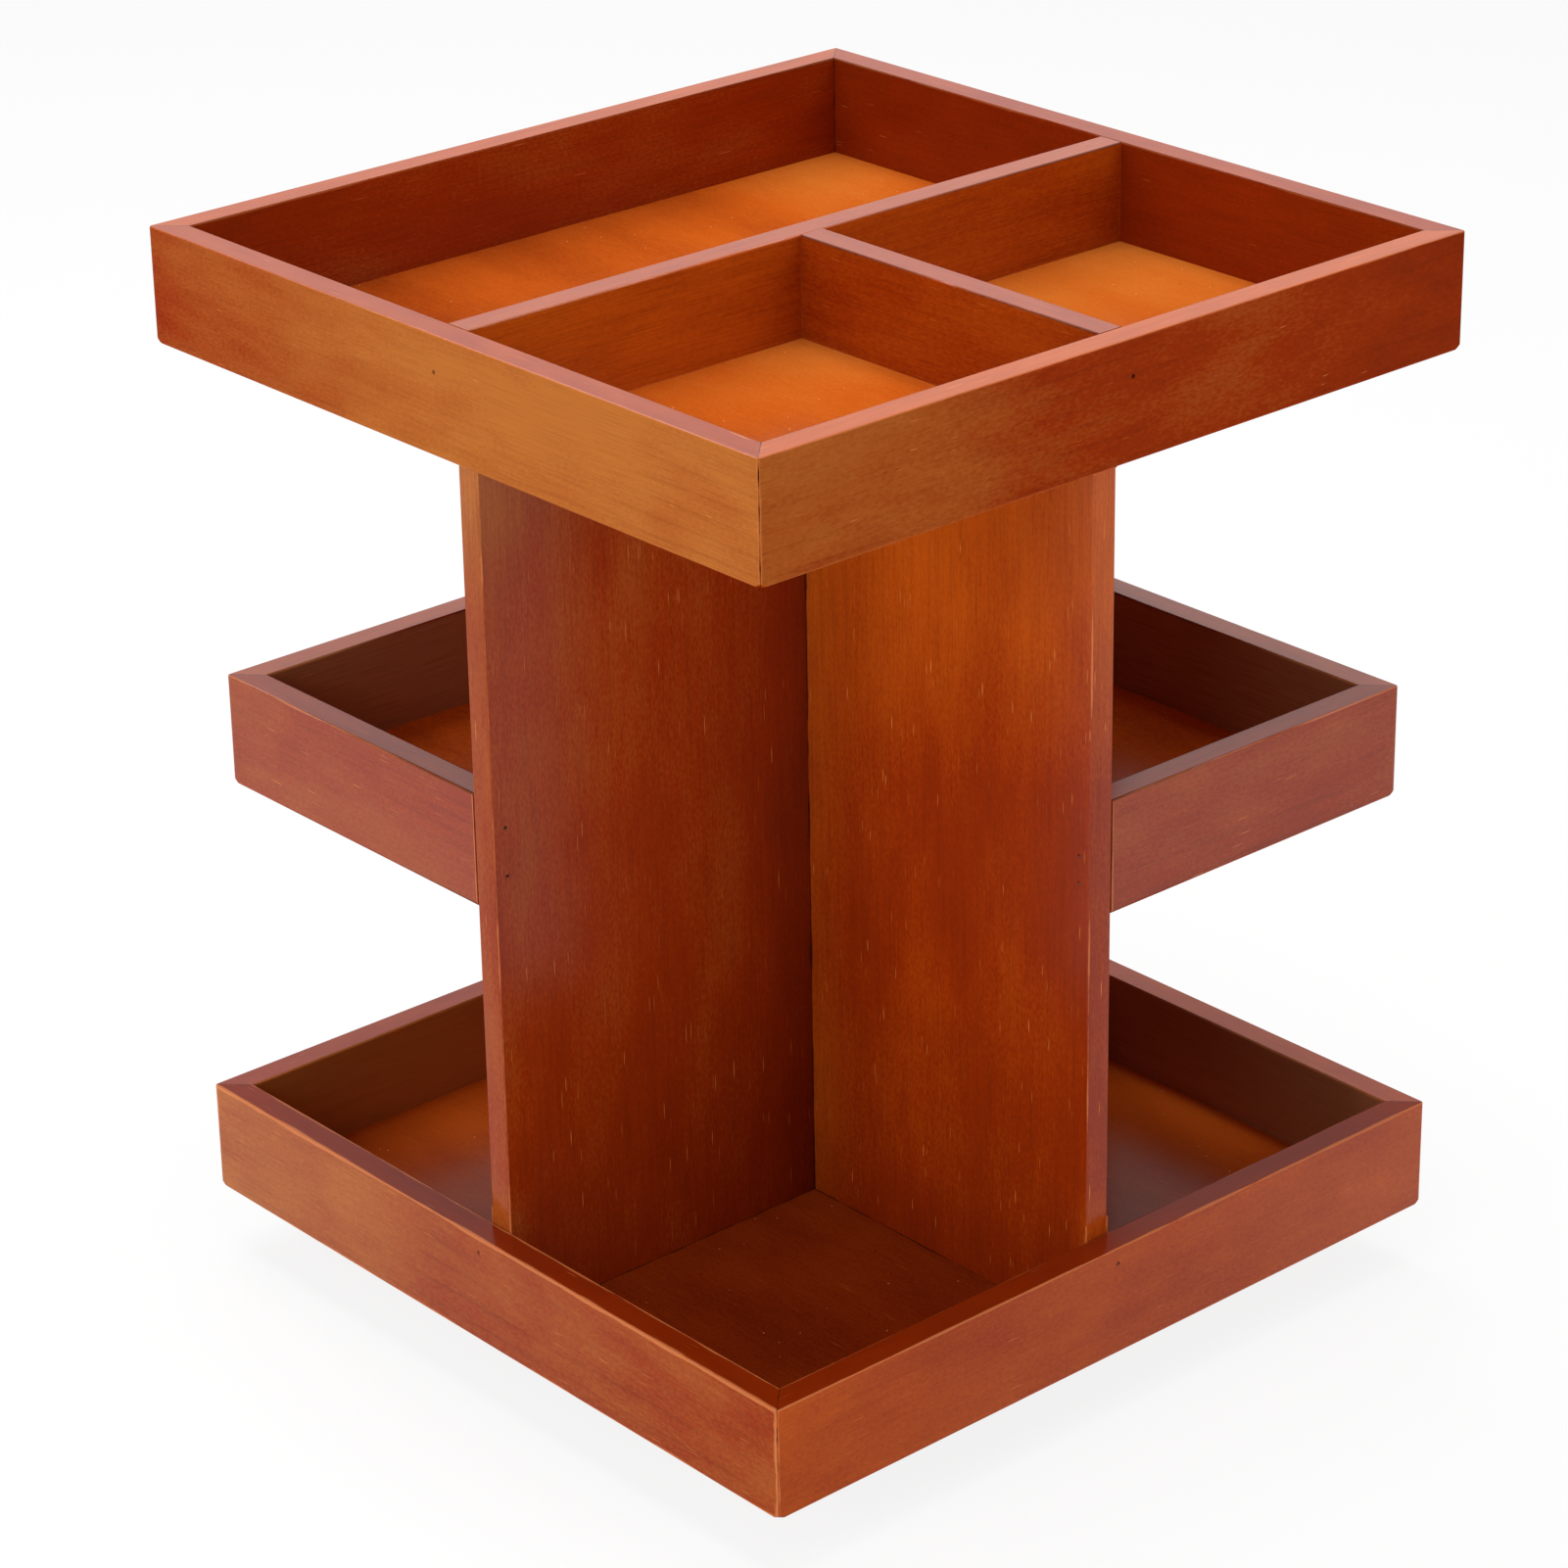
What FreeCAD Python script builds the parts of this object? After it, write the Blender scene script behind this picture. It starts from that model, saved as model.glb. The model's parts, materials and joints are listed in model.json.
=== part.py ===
import FreeCAD, Part
import os
import re
import Sketcher
from FreeCAD import Rotation, Vector

# A revolving wooden organizer. Two square trays hold a column of two crossed
# panels between them, two quarter trays sit half way up in opposite corners of
# the column, and a flat ball bearing on a round board carries it all.
# Millimetres, +Z up. The origin is on the table, under the centre of the feet.
# The front is towards -Y and the right is towards +X.

SIZES = [
    ("side", 254, "outer side of the bottom tray"),
    ("top_side", 256, "outer side of the top tray"),
    ("wall", 8.5, "thickness of every tray wall"),
    ("tray_height", 34, "height of every tray wall"),
    ("wood_height", 301.5, "from the bottom tray's underside to the top rim"),
    ("shelf_level", 133, "from the bottom tray's underside to the middle trays'"),
    ("thin_floor", 4.2, "floor thickness of the top and the middle trays"),
    ("base_floor", 5, "floor thickness of the bottom tray"),
    ("rebate", 4, "how far the floors reach into the walls"),
    ("divider", 8.5, "thickness of the top tray's dividers"),
    ("panel", 8.5, "thickness of the column's panels"),
    ("arris", 0.5, "rounding of the upper edges of walls and dividers"),
    ("lower_round", 0.8, "rounding of the walls' lower outer edges"),
    ("corner_round", 1.1, "rounding of the trays' upright corners"),
    ("tip_ease", 2, "how far the lower tips of those corners are sanded back"),
    ("panel_ease", 0.7, "width of the ease on the panels' upright edges"),
    ("square_end", 5, "length left square at both ends of that ease"),
    ("pin_diameter", 1.3, "diameter of the headless nails"),
    ("pin_length", 22, "length of the headless nails"),
    ("pin_tip", 1.5, "length of a nail's point"),
    ("pin_set", 0.8, "depth of a nail's end below the wood's surface"),
    ("divider_pin_drop", 10.5, "from the top rim to the nails into the dividers"),
    ("base_pin_drop", 5, "from the bottom rim to the nails into the panels"),
    ("shelf_pin_low", 10.5, "height of the lower nail at a middle tray's wall"),
    ("left_pin_high", 25, "height of the upper nail at the left middle tray"),
    ("right_pin_high", 18.5, "height of the upper nail at the right middle tray"),
    ("floor_pin_radius", 95, "from the axis to the nails through the floors"),
    ("bearing_height", 8, "height of the ball bearing over its two plates"),
    ("plate_side", 102, "side of the square bearing plates"),
    ("plate_corner", 6, "corner radius of the bearing plates"),
    ("plate_sheet", 1, "sheet thickness of the bearing plates"),
    ("hole_spacing", 89, "spacing of the plates' screw holes"),
    ("plate_hole", 4.5, "diameter of the plates' screw holes"),
    ("race_radius", 25, "from the axis to the balls' centres"),
    ("ball_diameter", 4.76, "diameter of a ball"),
    ("ball_count", 16, "number of balls"),
    ("ball_play", 0.05, "radial play between a ball and its races"),
    ("shoulder_rise", 1.2, "from a race's shoulder to the balls' centres"),
    ("form_radius", 33, "radius where the pressed centre meets the flat plate"),
    ("form_slope", 1.6, "width of the sloping wall of the pressed centre"),
    ("eye_radius", 16, "outer radius of the lower plate's tube"),
    ("eye_play", 0.3, "play between the tube and the upper plate"),
    ("hem_reach", 2.2, "how far the tube's hem laps over the upper plate"),
    ("cage_width", 8, "width of the ball cage's ring"),
    ("cage_thickness", 1, "thickness of the ball cage"),
    ("pocket_play", 0.1, "radial play between a ball and its cage"),
    ("board_diameter", 178, "diameter of the base board"),
    ("board_thickness", 9, "thickness of the base board"),
    ("board_round", 1.5, "rounding of the base board's edges"),
    ("access_hole", 14, "diameter of the hole that a screwdriver goes through"),
    ("foot_diameter", 14, "diameter of a rubber foot"),
    ("foot_height", 3, "height of a rubber foot"),
    ("foot_round", 0.6, "rounding of a foot's lower edge"),
    ("foot_circle", 76, "from the axis to a foot's centre"),
    ("foot_count", 4, "number of feet"),
    ("screw_diameter", 3.5, "thread diameter of the screws"),
    ("head_diameter", 7, "diameter of the screws' heads"),
    ("head_height", 2, "height of the screws' heads"),
    ("head_round", 0.8, "rounding of the screws' heads"),
    ("recess_width", 1, "width of one arm of the cross recess"),
    ("recess_span", 4, "length of one arm of the cross recess"),
    ("recess_depth", 1.2, "depth of the cross recess"),
    ("screw_tip", 1.5, "length of a screw's point"),
    ("board_screw", 9, "length under the head of the base board's screws"),
    ("tray_screw", 5.5, "length under the head of the bottom tray's screws"),
]

doc = FreeCAD.newDocument("RotatingOrganizer")
sheet = doc.addObject("Spreadsheet::Sheet", "Sizes")
for row, (alias, number, meaning) in enumerate(SIZES, start=1):
    sheet.set(f"A{row}", meaning)
    sheet.set(f"B{row}", str(number))
    sheet.setAlias(f"B{row}", alias)
doc.recompute()

ALIASES = {alias for alias, number, meaning in SIZES}

# Places that several pieces share, as formulas in the sizes above.
BEARING_LEVEL = "(foot_height + board_thickness)"
TRAY_LEVEL = "(foot_height + board_thickness + bearing_height)"
SHELF_LEVEL = f"({TRAY_LEVEL} + shelf_level)"
RIM_LEVEL = f"({TRAY_LEVEL} + wood_height)"
TOP_TRAY_LEVEL = f"({RIM_LEVEL} - tray_height)"
PANEL_LEVEL = f"({TRAY_LEVEL} + base_floor)"
PANEL_HEIGHT = "(wood_height - tray_height - base_floor)"
OUTSIDE = "(side / 2)"
INSIDE = "(side / 2 - wall)"
SHELF_INSIDE = "(side / 2 - 2 * wall)"
TOP_OUTSIDE = "(top_side / 2)"
TOP_INSIDE = "(top_side / 2 - wall)"

UPRIGHT = Rotation()
EIGHTH_TURN = Rotation(Vector(0, 0, 1), 45)
QUARTER_TURN = Rotation(Vector(0, 0, 1), 90)
HALF_TURN = Rotation(Vector(0, 0, 1), 180)
UPSIDE_DOWN = Rotation(Vector(1, 0, 0), 180)
TOWARDS = {
    "+X": Rotation(Vector(0, 1, 0), 90),
    "-X": Rotation(Vector(0, 1, 0), -90),
    "+Y": Rotation(Vector(1, 0, 0), -90),
    "-Y": Rotation(Vector(1, 0, 0), 90),
}

# How a sketch counts the points of an edge, and its own origin.
POINT = {"start": 1, "end": 2, "centre": 3}
SKETCH_ORIGIN = (-1, POINT["start"])

NODES = []


def formula(text):
    """Point each size's name in a formula at its cell of the sheet."""
    return re.sub(r"[a-z_]+", lambda word: f"Sizes.{word[0]}" if word[0] in ALIASES else word[0], text)


def size(text):
    """The present value of a formula."""
    return float(sheet.evalExpression(formula(text)))


def bind(thing, path, text):
    thing.setExpression(path, formula(text))


def place(thing, x="0", y="0", z="0", turn=UPRIGHT):
    """Put a piece at three formulas, turned as given."""
    thing.Placement.Rotation = turn
    for axis, text in zip("xyz", (x, y, z)):
        bind(thing, f"Placement.Base.{axis}", text)


def node(piece, label):
    """Name a piece and keep it for the parts folder."""
    piece.Label = label
    NODES.append(piece)
    return piece


def origin_part(body, role):
    return next(part for part in body.Origin.OriginFeatures if part.Role == role)


def sketch_on(body, role, level="0"):
    """A sketch on one of a body's own planes, raised to a level."""
    sketch = body.newObject("Sketcher::SketchObject", f"{body.Name}_sketch")
    sketch.AttachmentSupport = [(origin_part(body, role), "")]
    sketch.MapMode = "FlatFace"
    bind(sketch, "AttachmentOffset.Base.z", level)
    return sketch


def constrain(sketch, kind, text, *places):
    """A constraint whose value follows a formula."""
    index = sketch.addConstraint(Sketcher.Constraint(kind, *places, size(text)))
    bind(sketch, f"Constraints[{index}]", text)


def pin_point(sketch, edge, point, x, y):
    """Hold a point of an edge at two formulas from the sketch's origin."""
    constrain(sketch, "DistanceX", x, *SKETCH_ORIGIN, edge, POINT[point])
    constrain(sketch, "DistanceY", y, *SKETCH_ORIGIN, edge, POINT[point])


def outline(sketch, corners):
    """A closed outline. A corner is a pair of formulas, or has a third entry when
    the edge that leaves it is an arc: the arc's centre and radius as formulas,
    and whether it runs clockwise."""
    points = [Vector(size(corner[0]), size(corner[1]), 0) for corner in corners]
    for number, corner in enumerate(corners):
        following = (number + 1) % len(corners)
        start, end = points[number], points[following]
        if len(corner) == 2:
            edge = sketch.addGeometry(Part.LineSegment(start, end))
            first, last = "start", "end"
        else:
            (centre_x, centre_y, radius), clockwise = corner[2]
            centre = Vector(size(centre_x), size(centre_y), 0)
            towards_middle = ((start + end) / 2 - centre).normalize()
            middle = centre + towards_middle * size(radius)
            edge = sketch.addGeometry(Part.Arc(start, middle, end))
            constrain(sketch, "Radius", radius, edge)
            first, last = ("end", "start") if clockwise else ("start", "end")
        pin_point(sketch, edge, first, corner[0], corner[1])
        pin_point(sketch, edge, last, corners[following][0], corners[following][1])


def rectangle(sketch, x, y):
    """A rectangle between two formulas along each axis."""
    outline(sketch, [(x[0], y[0]), (x[1], y[0]), (x[1], y[1]), (x[0], y[1])])


def square(sketch, low, high):
    rectangle(sketch, (low, high), (low, high))


def circle(sketch, radius, x="0", y="0"):
    """A circle round a centre given by two formulas."""
    centre = Vector(size(x), size(y), 0)
    ring = sketch.addGeometry(Part.Circle(centre, Vector(0, 0, 1), size(radius)))
    constrain(sketch, "Radius", radius, ring)
    pin_point(sketch, ring, "centre", x, y)


def new_body(name):
    return doc.addObject("PartDesign::Body", name)


def pad(body, sketch, length):
    feature = body.newObject("PartDesign::Pad", f"{body.Name}_pad")
    feature.Profile = sketch
    bind(feature, "Length", length)
    doc.recompute()
    return feature


def pocket(body, sketch, length, upwards=True):
    """Cut a sketch's outline out of the body, and check that it took something."""
    before = body.Shape.Volume
    feature = body.newObject("PartDesign::Pocket", f"{body.Name}_pocket")
    feature.Profile = sketch
    feature.Reversed = upwards
    bind(feature, "Length", length)
    doc.recompute()
    if body.Shape.Volume >= before:
        raise RuntimeError(f"a pocket in {body.Name} cuts nothing")
    return feature


def revolve(body, sketch):
    """Turn a sketch round its own upright axis."""
    feature = body.newObject("PartDesign::Revolution", f"{body.Name}_revolution")
    feature.Profile = sketch
    feature.ReferenceAxis = (sketch, ["V_Axis"])
    feature.Angle = 360
    doc.recompute()
    return feature


def round_edges(body, radius, wanted):
    """Round the edges of the body's tip that a test picks out."""
    base = body.Tip
    edges = [f"Edge{number}" for number, edge in enumerate(base.Shape.Edges, start=1) if wanted(edge)]
    feature = body.newObject("PartDesign::Fillet", f"{body.Name}_fillet")
    feature.Base = (base, edges)
    bind(feature, "Radius", radius)
    doc.recompute()
    return feature


def repeat_round(body, features, count, separate=False):
    """Repeat features round the body's upright axis, joined or as separate solids."""
    body.AllowCompound = separate
    pattern = body.newObject("PartDesign::PolarPattern", f"{body.Name}_pattern")
    pattern.Originals = features
    pattern.Axis = (origin_part(body, "Z_Axis"), [""])
    pattern.Angle = 360
    bind(pattern, "Occurrences", count)
    body.Tip = pattern
    doc.recompute()
    return pattern


def near(first, second):
    return abs(first - second) < 0.001


def lies_level(edge, height):
    return near(edge.BoundBox.ZMin, height) and near(edge.BoundBox.ZMax, height)


def stands_upright(edge):
    return near(edge.BoundBox.XLength, 0) and near(edge.BoundBox.YLength, 0)


def block(name, x, y, z):
    """A plain board between two formulas along each axis."""
    board = doc.addObject("Part::Box", name)
    for axis, edge, (start, end) in zip("xyz", ("Length", "Width", "Height"), (x, y, z)):
        bind(board, edge, f"({end}) - ({start})")
        bind(board, f"Placement.Base.{axis}", start)
    return board


def combine(kind, name, base, tool):
    """A boolean of two pieces: Part::Common or Part::Cut."""
    feature = doc.addObject(kind, name)
    feature.Base = base
    feature.Tool = tool
    doc.recompute()
    return feature


def gather(name, pieces):
    group = doc.addObject("Part::Compound", name)
    group.Links = pieces
    doc.recompute()
    return group


def copies(name, master, places):
    """Copies of one master piece, each at three formulas and a rotation."""
    links = []
    for number, (x, y, z, turn) in enumerate(places):
        link = doc.addObject("App::Link", f"{name}_{number}")
        link.LinkedObject = master
        place(link, x, y, z, turn)
        links.append(link)
    return gather(name, links)


# Headless nails and the holes that they fill

def nail_body(name, start):
    """A nail that points up its own axis from the wood's surface at zero."""
    body = new_body(name)
    sketch = sketch_on(body, "XZ_Plane")
    radius = "pin_diameter / 2"
    point = "pin_set + pin_length"
    outline(sketch, [("0", start), (radius, start), (radius, f"{point} - pin_tip"), ("0", point)])
    revolve(body, sketch)
    return body


NAIL = nail_body("nail", "pin_set")
NAIL_HOLE = nail_body("nail_hole", "-pin_set")


def nails(label, places):
    """A named group of nails. It gives back the holes for the wood round them."""
    node(copies(label, NAIL, places), label)
    return copies(f"{label}_holes", NAIL_HOLE, places)


def drilled(label, piece, *holes):
    """A piece of wood with its nail holes, kept under its label."""
    tools = holes[0] if len(holes) == 1 else gather(f"{label}_holes", list(holes))
    return node(combine("Part::Cut", f"{label}_drilled", piece, tools), label)


# Tray walls: one frame with its rebate and rounded edges, sawn into mitred walls

def mitre_wedge(name, angle):
    """The quarter of all space that one wall's mitres bound."""
    wedge = doc.addObject("Part::Wedge", name)
    for path in ("Xmin", "Ymin"):
        bind(wedge, path, "-side")
    bind(wedge, "Xmax", "side")
    bind(wedge, "Zmax", f"2 * {RIM_LEVEL}")
    bind(wedge, "Z2max", f"2 * {RIM_LEVEL}")
    for path in ("Ymax", "Zmin", "Z2min", "X2min", "X2max"):
        bind(wedge, path, "0")
    wedge.Placement.Rotation = Rotation(Vector(0, 0, 1), angle)
    return wedge


WEDGES = {
    "front": mitre_wedge("front_wedge", 0),
    "right": mitre_wedge("right_wedge", 90),
    "back": mitre_wedge("back_wedge", 180),
    "left": mitre_wedge("left_wedge", 270),
}


def ease_lower_tips(body, corner_radius):
    """Sand the lower tips of a frame's corners back, to a cone round the axis."""
    before = body.Shape.Volume
    sketch = sketch_on(body, "XZ_Plane")
    outline(sketch, [
        (f"{corner_radius} - tip_ease", "0"),
        (f"{corner_radius} + tip_ease", "2 * tip_ease"),
        (f"{corner_radius} + tip_ease", "0"),
    ])
    feature = body.newObject("PartDesign::Groove", f"{body.Name}_groove")
    feature.Profile = sketch
    feature.ReferenceAxis = (sketch, ["V_Axis"])
    feature.Angle = 360
    doc.recompute()
    if body.Shape.Volume >= before:
        raise RuntimeError(f"the groove in {body.Name} cuts nothing")


def tray_frame(name, outer, inner, rebate, floor, level, turn=UPRIGHT):
    """The walls of a tray in one piece. Each outline is a square between two
    formulas that serve along X and along Y. Where the outer and the inner square
    end at the same place, the tray is open there, towards a panel."""
    body = new_body(name)
    sketch = sketch_on(body, "XY_Plane")
    square(sketch, *outer)
    pad(body, sketch, "tray_height")
    for edges, depth in ((inner, "tray_height"), (rebate, floor)):
        sketch = sketch_on(body, "XY_Plane")
        square(sketch, *edges)
        pocket(body, sketch, depth)

    low, high = size(outer[0]), size(outer[1])
    is_open = outer[1] == inner[1]
    outer_faces = (low,) if is_open else (low, high)

    def is_outer_corner(edge):
        box = edge.BoundBox
        on_corner = any(near(box.XMin, x) and near(box.YMin, y) for x in outer_faces for y in outer_faces)
        return stands_upright(edge) and on_corner

    def ends_at_panel(box):
        return is_open and (near(box.XMin, high) or near(box.YMin, high))

    def is_upper_arris(edge):
        return lies_level(edge, size("tray_height")) and not ends_at_panel(edge.BoundBox)

    def is_lower_arris(edge):
        box = edge.BoundBox
        limits = (box.XMin, box.XMax, box.YMin, box.YMax)
        outside = any(near(limit, face) for limit in limits for face in outer_faces)
        return lies_level(edge, 0) and outside and not ends_at_panel(box)

    round_edges(body, "corner_round", is_outer_corner)
    round_edges(body, "arris", is_upper_arris)
    round_edges(body, "lower_round", is_lower_arris)
    ease_lower_tips(body, f"-sqrt(2) * ({outer[0]})")
    place(body, z=level, turn=turn)
    return body


def saw(frame, side):
    return combine("Part::Common", f"{frame.Name}_{side}", frame, WEDGES[side])


# Column: two panels that cross and lap into each other at half height

def column_panel(name, slot_on_top, turn):
    """A panel along Y in its own frame, with its slot and eased upright edges."""
    body = new_body(name)
    sketch = sketch_on(body, "XY_Plane")
    rectangle(sketch, ("-panel / 2", "panel / 2"), (f"-{INSIDE}", INSIDE))
    pad(body, sketch, PANEL_HEIGHT)

    sketch = sketch_on(body, "XY_Plane", f"{PANEL_HEIGHT} / 2" if slot_on_top else "0")
    square(sketch, "-panel / 2", "panel / 2")
    pocket(body, sketch, f"{PANEL_HEIGHT} / 2")

    sketch = sketch_on(body, "XY_Plane", "tray_height - base_floor + square_end")
    for across in ("", "-"):
        for along in ("", "-"):
            face, end = f"{across}(panel / 2)", f"{along}{INSIDE}"
            face_in = f"{across}(panel / 2 - panel_ease)"
            end_in = f"{along}({INSIDE} - panel_ease)"
            outline(sketch, [(face, end), (face_in, end), (face, end_in)])
    pocket(body, sketch, f"{PANEL_HEIGHT} - tray_height + base_floor - 2 * square_end")
    place(body, z=PANEL_LEVEL, turn=turn)
    return body


# Nails, by what they join

DIVIDER_PIN_LEVEL = f"{RIM_LEVEL} - divider_pin_drop"
divider_holes = nails("top_tray_divider_pins", [
    ("0", f"-{TOP_OUTSIDE}", DIVIDER_PIN_LEVEL, TOWARDS["+Y"]),
    ("0", TOP_OUTSIDE, DIVIDER_PIN_LEVEL, TOWARDS["-Y"]),
    (TOP_OUTSIDE, "0", DIVIDER_PIN_LEVEL, TOWARDS["-X"]),
])

BASE_PIN_LEVEL = f"{TRAY_LEVEL} + tray_height - base_pin_drop"
base_wall_holes = nails("bottom_tray_wall_pins", [
    ("0", f"-{OUTSIDE}", BASE_PIN_LEVEL, TOWARDS["+Y"]),
    (OUTSIDE, "0", BASE_PIN_LEVEL, TOWARDS["-X"]),
    ("0", OUTSIDE, BASE_PIN_LEVEL, TOWARDS["-Y"]),
    (f"-{OUTSIDE}", "0", BASE_PIN_LEVEL, TOWARDS["+X"]),
])


FLOOR_PINS = [
    ("0", "-floor_pin_radius"),
    ("floor_pin_radius", "0"),
    ("0", "floor_pin_radius"),
    ("-floor_pin_radius", "0"),
]


def floor_pins(label, places, level, turn):
    return nails(label, [(x, y, level, turn) for x, y in places])


# The top floor's nails are under the dividers, and no divider covers the left arm.
top_floor_holes = floor_pins(
    "top_floor_pins", FLOOR_PINS[:3], f"{TOP_TRAY_LEVEL} + thin_floor", UPSIDE_DOWN)
base_floor_holes = floor_pins("bottom_floor_pins", FLOOR_PINS, TRAY_LEVEL, UPRIGHT)


def shelf_pins(label, side, high):
    """Two nails through each panel into the wall that ends against it. The side
    is - for the left middle tray and nothing for the right one."""
    far = "" if side == "-" else "-"
    wall_middle = f"{side}({INSIDE} - wall / 2)"
    face = f"{far}(panel / 2)"
    back = "-" if side == "-" else "+"
    places = []
    for height in ("shelf_pin_low", high):
        level = f"{SHELF_LEVEL} + {height}"
        places.append((face, wall_middle, level, TOWARDS[f"{back}X"]))
        places.append((wall_middle, face, level, TOWARDS[f"{back}Y"]))
    return nails(label, places)


left_shelf_holes = shelf_pins("left_tray_pins", "-", "left_pin_high")
right_shelf_holes = shelf_pins("right_tray_pins", "", "right_pin_high")


def floor_board(name, reach, level, thickness):
    """A square floor that reaches equally far to every side of the axis."""
    across = (f"-{reach}", reach)
    return block(name, across, across, (level, f"{level} + {thickness}"))


# Top tray

TOP_REACH = f"({TOP_INSIDE} + rebate)"
top_frame = tray_frame(
    "top_frame", (f"-{TOP_OUTSIDE}", TOP_OUTSIDE), (f"-{TOP_INSIDE}", TOP_INSIDE),
    (f"-{TOP_REACH}", TOP_REACH), "thin_floor", TOP_TRAY_LEVEL)
for side in ("front", "right", "back"):
    drilled(f"top_{side}_wall", saw(top_frame, side), divider_holes)
node(saw(top_frame, "left"), "top_left_wall")

top_floor = floor_board("top_floor_board", TOP_REACH, TOP_TRAY_LEVEL, "thin_floor")
drilled("top_floor", top_floor, top_floor_holes)


def top_divider(name, low, high, turn):
    """A divider along X in its own frame, rounded along its two upper edges."""
    body = new_body(name)
    sketch = sketch_on(body, "XY_Plane")
    rectangle(sketch, (low, high), ("-divider / 2", "divider / 2"))
    pad(body, sketch, "tray_height - thin_floor")
    top = size("tray_height - thin_floor")
    round_edges(body, "arris", lambda edge: lies_level(edge, top) and near(edge.BoundBox.YLength, 0))
    place(body, z=f"{TOP_TRAY_LEVEL} + thin_floor", turn=turn)
    return body


long_divider = top_divider("long_divider", f"-{TOP_INSIDE}", TOP_INSIDE, QUARTER_TURN)
drilled("top_long_divider", long_divider, divider_holes)
short_divider = top_divider("short_divider", "divider / 2", TOP_INSIDE, UPRIGHT)
drilled("top_short_divider", short_divider, divider_holes)

# Column

front_back_panel = column_panel("lapped_front_back", True, UPRIGHT)
left_right_panel = column_panel("lapped_left_right", False, QUARTER_TURN)
panel_holes = (base_wall_holes, top_floor_holes, base_floor_holes, left_shelf_holes, right_shelf_holes)
drilled("front_back_panel", front_back_panel, *panel_holes)
drilled("left_right_panel", left_right_panel, *panel_holes)


# Middle trays: the right one is the left one turned half round

def middle_tray(label, turn, walls, holes):
    """Two mitred walls and a floor in the corner between the two panels."""
    corner = (f"-{INSIDE}", "-panel / 2")
    inner = (f"-{SHELF_INSIDE}", "-panel / 2")
    seat = (f"-({SHELF_INSIDE} + rebate)", "-panel / 2")
    frame = tray_frame(f"{label}_frame", corner, inner, seat, "thin_floor", SHELF_LEVEL, turn)
    for side, name in walls:
        drilled(f"{label}_{name}", saw(frame, side), holes)

    body = new_body(f"{label}_floor_board")
    sketch = sketch_on(body, "XY_Plane")
    square(sketch, *seat)
    pad(body, sketch, "thin_floor")
    place(body, z=SHELF_LEVEL, turn=turn)
    node(body, f"{label}_floor")


middle_tray(
    "left_tray", UPRIGHT, [("front", "front_wall"), ("left", "side_wall")], left_shelf_holes)
middle_tray(
    "right_tray", HALF_TURN, [("back", "back_wall"), ("right", "side_wall")], right_shelf_holes)

# Screws: pan heads with a cross recess, their seat at zero and the point downwards

def screw_body(name, length):
    body = new_body(name)
    sketch = sketch_on(body, "XZ_Plane")
    head, shank = "head_diameter / 2", "screw_diameter / 2"
    outline(sketch, [
        ("0", f"-{length}"),
        (shank, f"screw_tip - {length}"),
        (shank, "0"),
        (head, "0"),
        (head, "head_height"),
        ("0", "head_height"),
    ])
    revolve(body, sketch)
    top = size("head_height")
    round_edges(body, "head_round", lambda edge: lies_level(edge, top))
    for arm in (("recess_width", "recess_span"), ("recess_span", "recess_width")):
        sketch = sketch_on(body, "XY_Plane", "head_height")
        rectangle(sketch, (f"-{arm[0]} / 2", f"{arm[0]} / 2"), (f"-{arm[1]} / 2", f"{arm[1]} / 2"))
        pocket(body, sketch, "recess_depth", upwards=False)
    return body


def plate_screws(label, length, level, turn):
    """One screw in each corner hole of a bearing plate."""
    master = screw_body(f"{label}_master", length)
    near_side, far_side = "-hole_spacing / 2", "hole_spacing / 2"
    corners = [(near_side, near_side), (far_side, near_side), (far_side, far_side), (near_side, far_side)]
    places = [(x, y, level, turn) for x, y in corners]
    return node(copies(label, master, places), label)


board_screws = plate_screws("base_board_screws", "board_screw", f"{BEARING_LEVEL} + plate_sheet", UPRIGHT)
tray_screws = plate_screws("bottom_tray_screws", "tray_screw", f"{TRAY_LEVEL} - plate_sheet", UPSIDE_DOWN)

# Bottom tray

BOTTOM_REACH = f"({INSIDE} + rebate)"
bottom_frame = tray_frame(
    "bottom_frame", (f"-{OUTSIDE}", OUTSIDE), (f"-{INSIDE}", INSIDE),
    (f"-{BOTTOM_REACH}", BOTTOM_REACH), "base_floor", TRAY_LEVEL)
for side in ("front", "right", "back", "left"):
    drilled(f"bottom_{side}_wall", saw(bottom_frame, side), base_wall_holes)
bottom_floor = floor_board("bottom_floor_board", BOTTOM_REACH, TRAY_LEVEL, "base_floor")
drilled("bottom_floor", bottom_floor, base_floor_holes, tray_screws)

# Ball bearing: two pressed plates. The lower one's tube goes up through the upper
# one, and its hem laps over the upper one's edge, so they can't come apart.

BALL_LEVEL = "(bearing_height / 2)"
RACE = "(ball_diameter / 2 + ball_play)"
SHOULDER = f"({BALL_LEVEL} - shoulder_rise)"
SHOULDER_UNDER = f"({SHOULDER} - plate_sheet)"
RACE_HALF = f"sqrt({RACE} ^ 2 - shoulder_rise ^ 2)"
BEAD_HALF = f"sqrt(({RACE} + plate_sheet) ^ 2 - (shoulder_rise + plate_sheet) ^ 2)"
RACE_ARC = ("race_radius", BALL_LEVEL, RACE)
BEAD_ARC = ("race_radius", BALL_LEVEL, f"{RACE} + plate_sheet")


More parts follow.
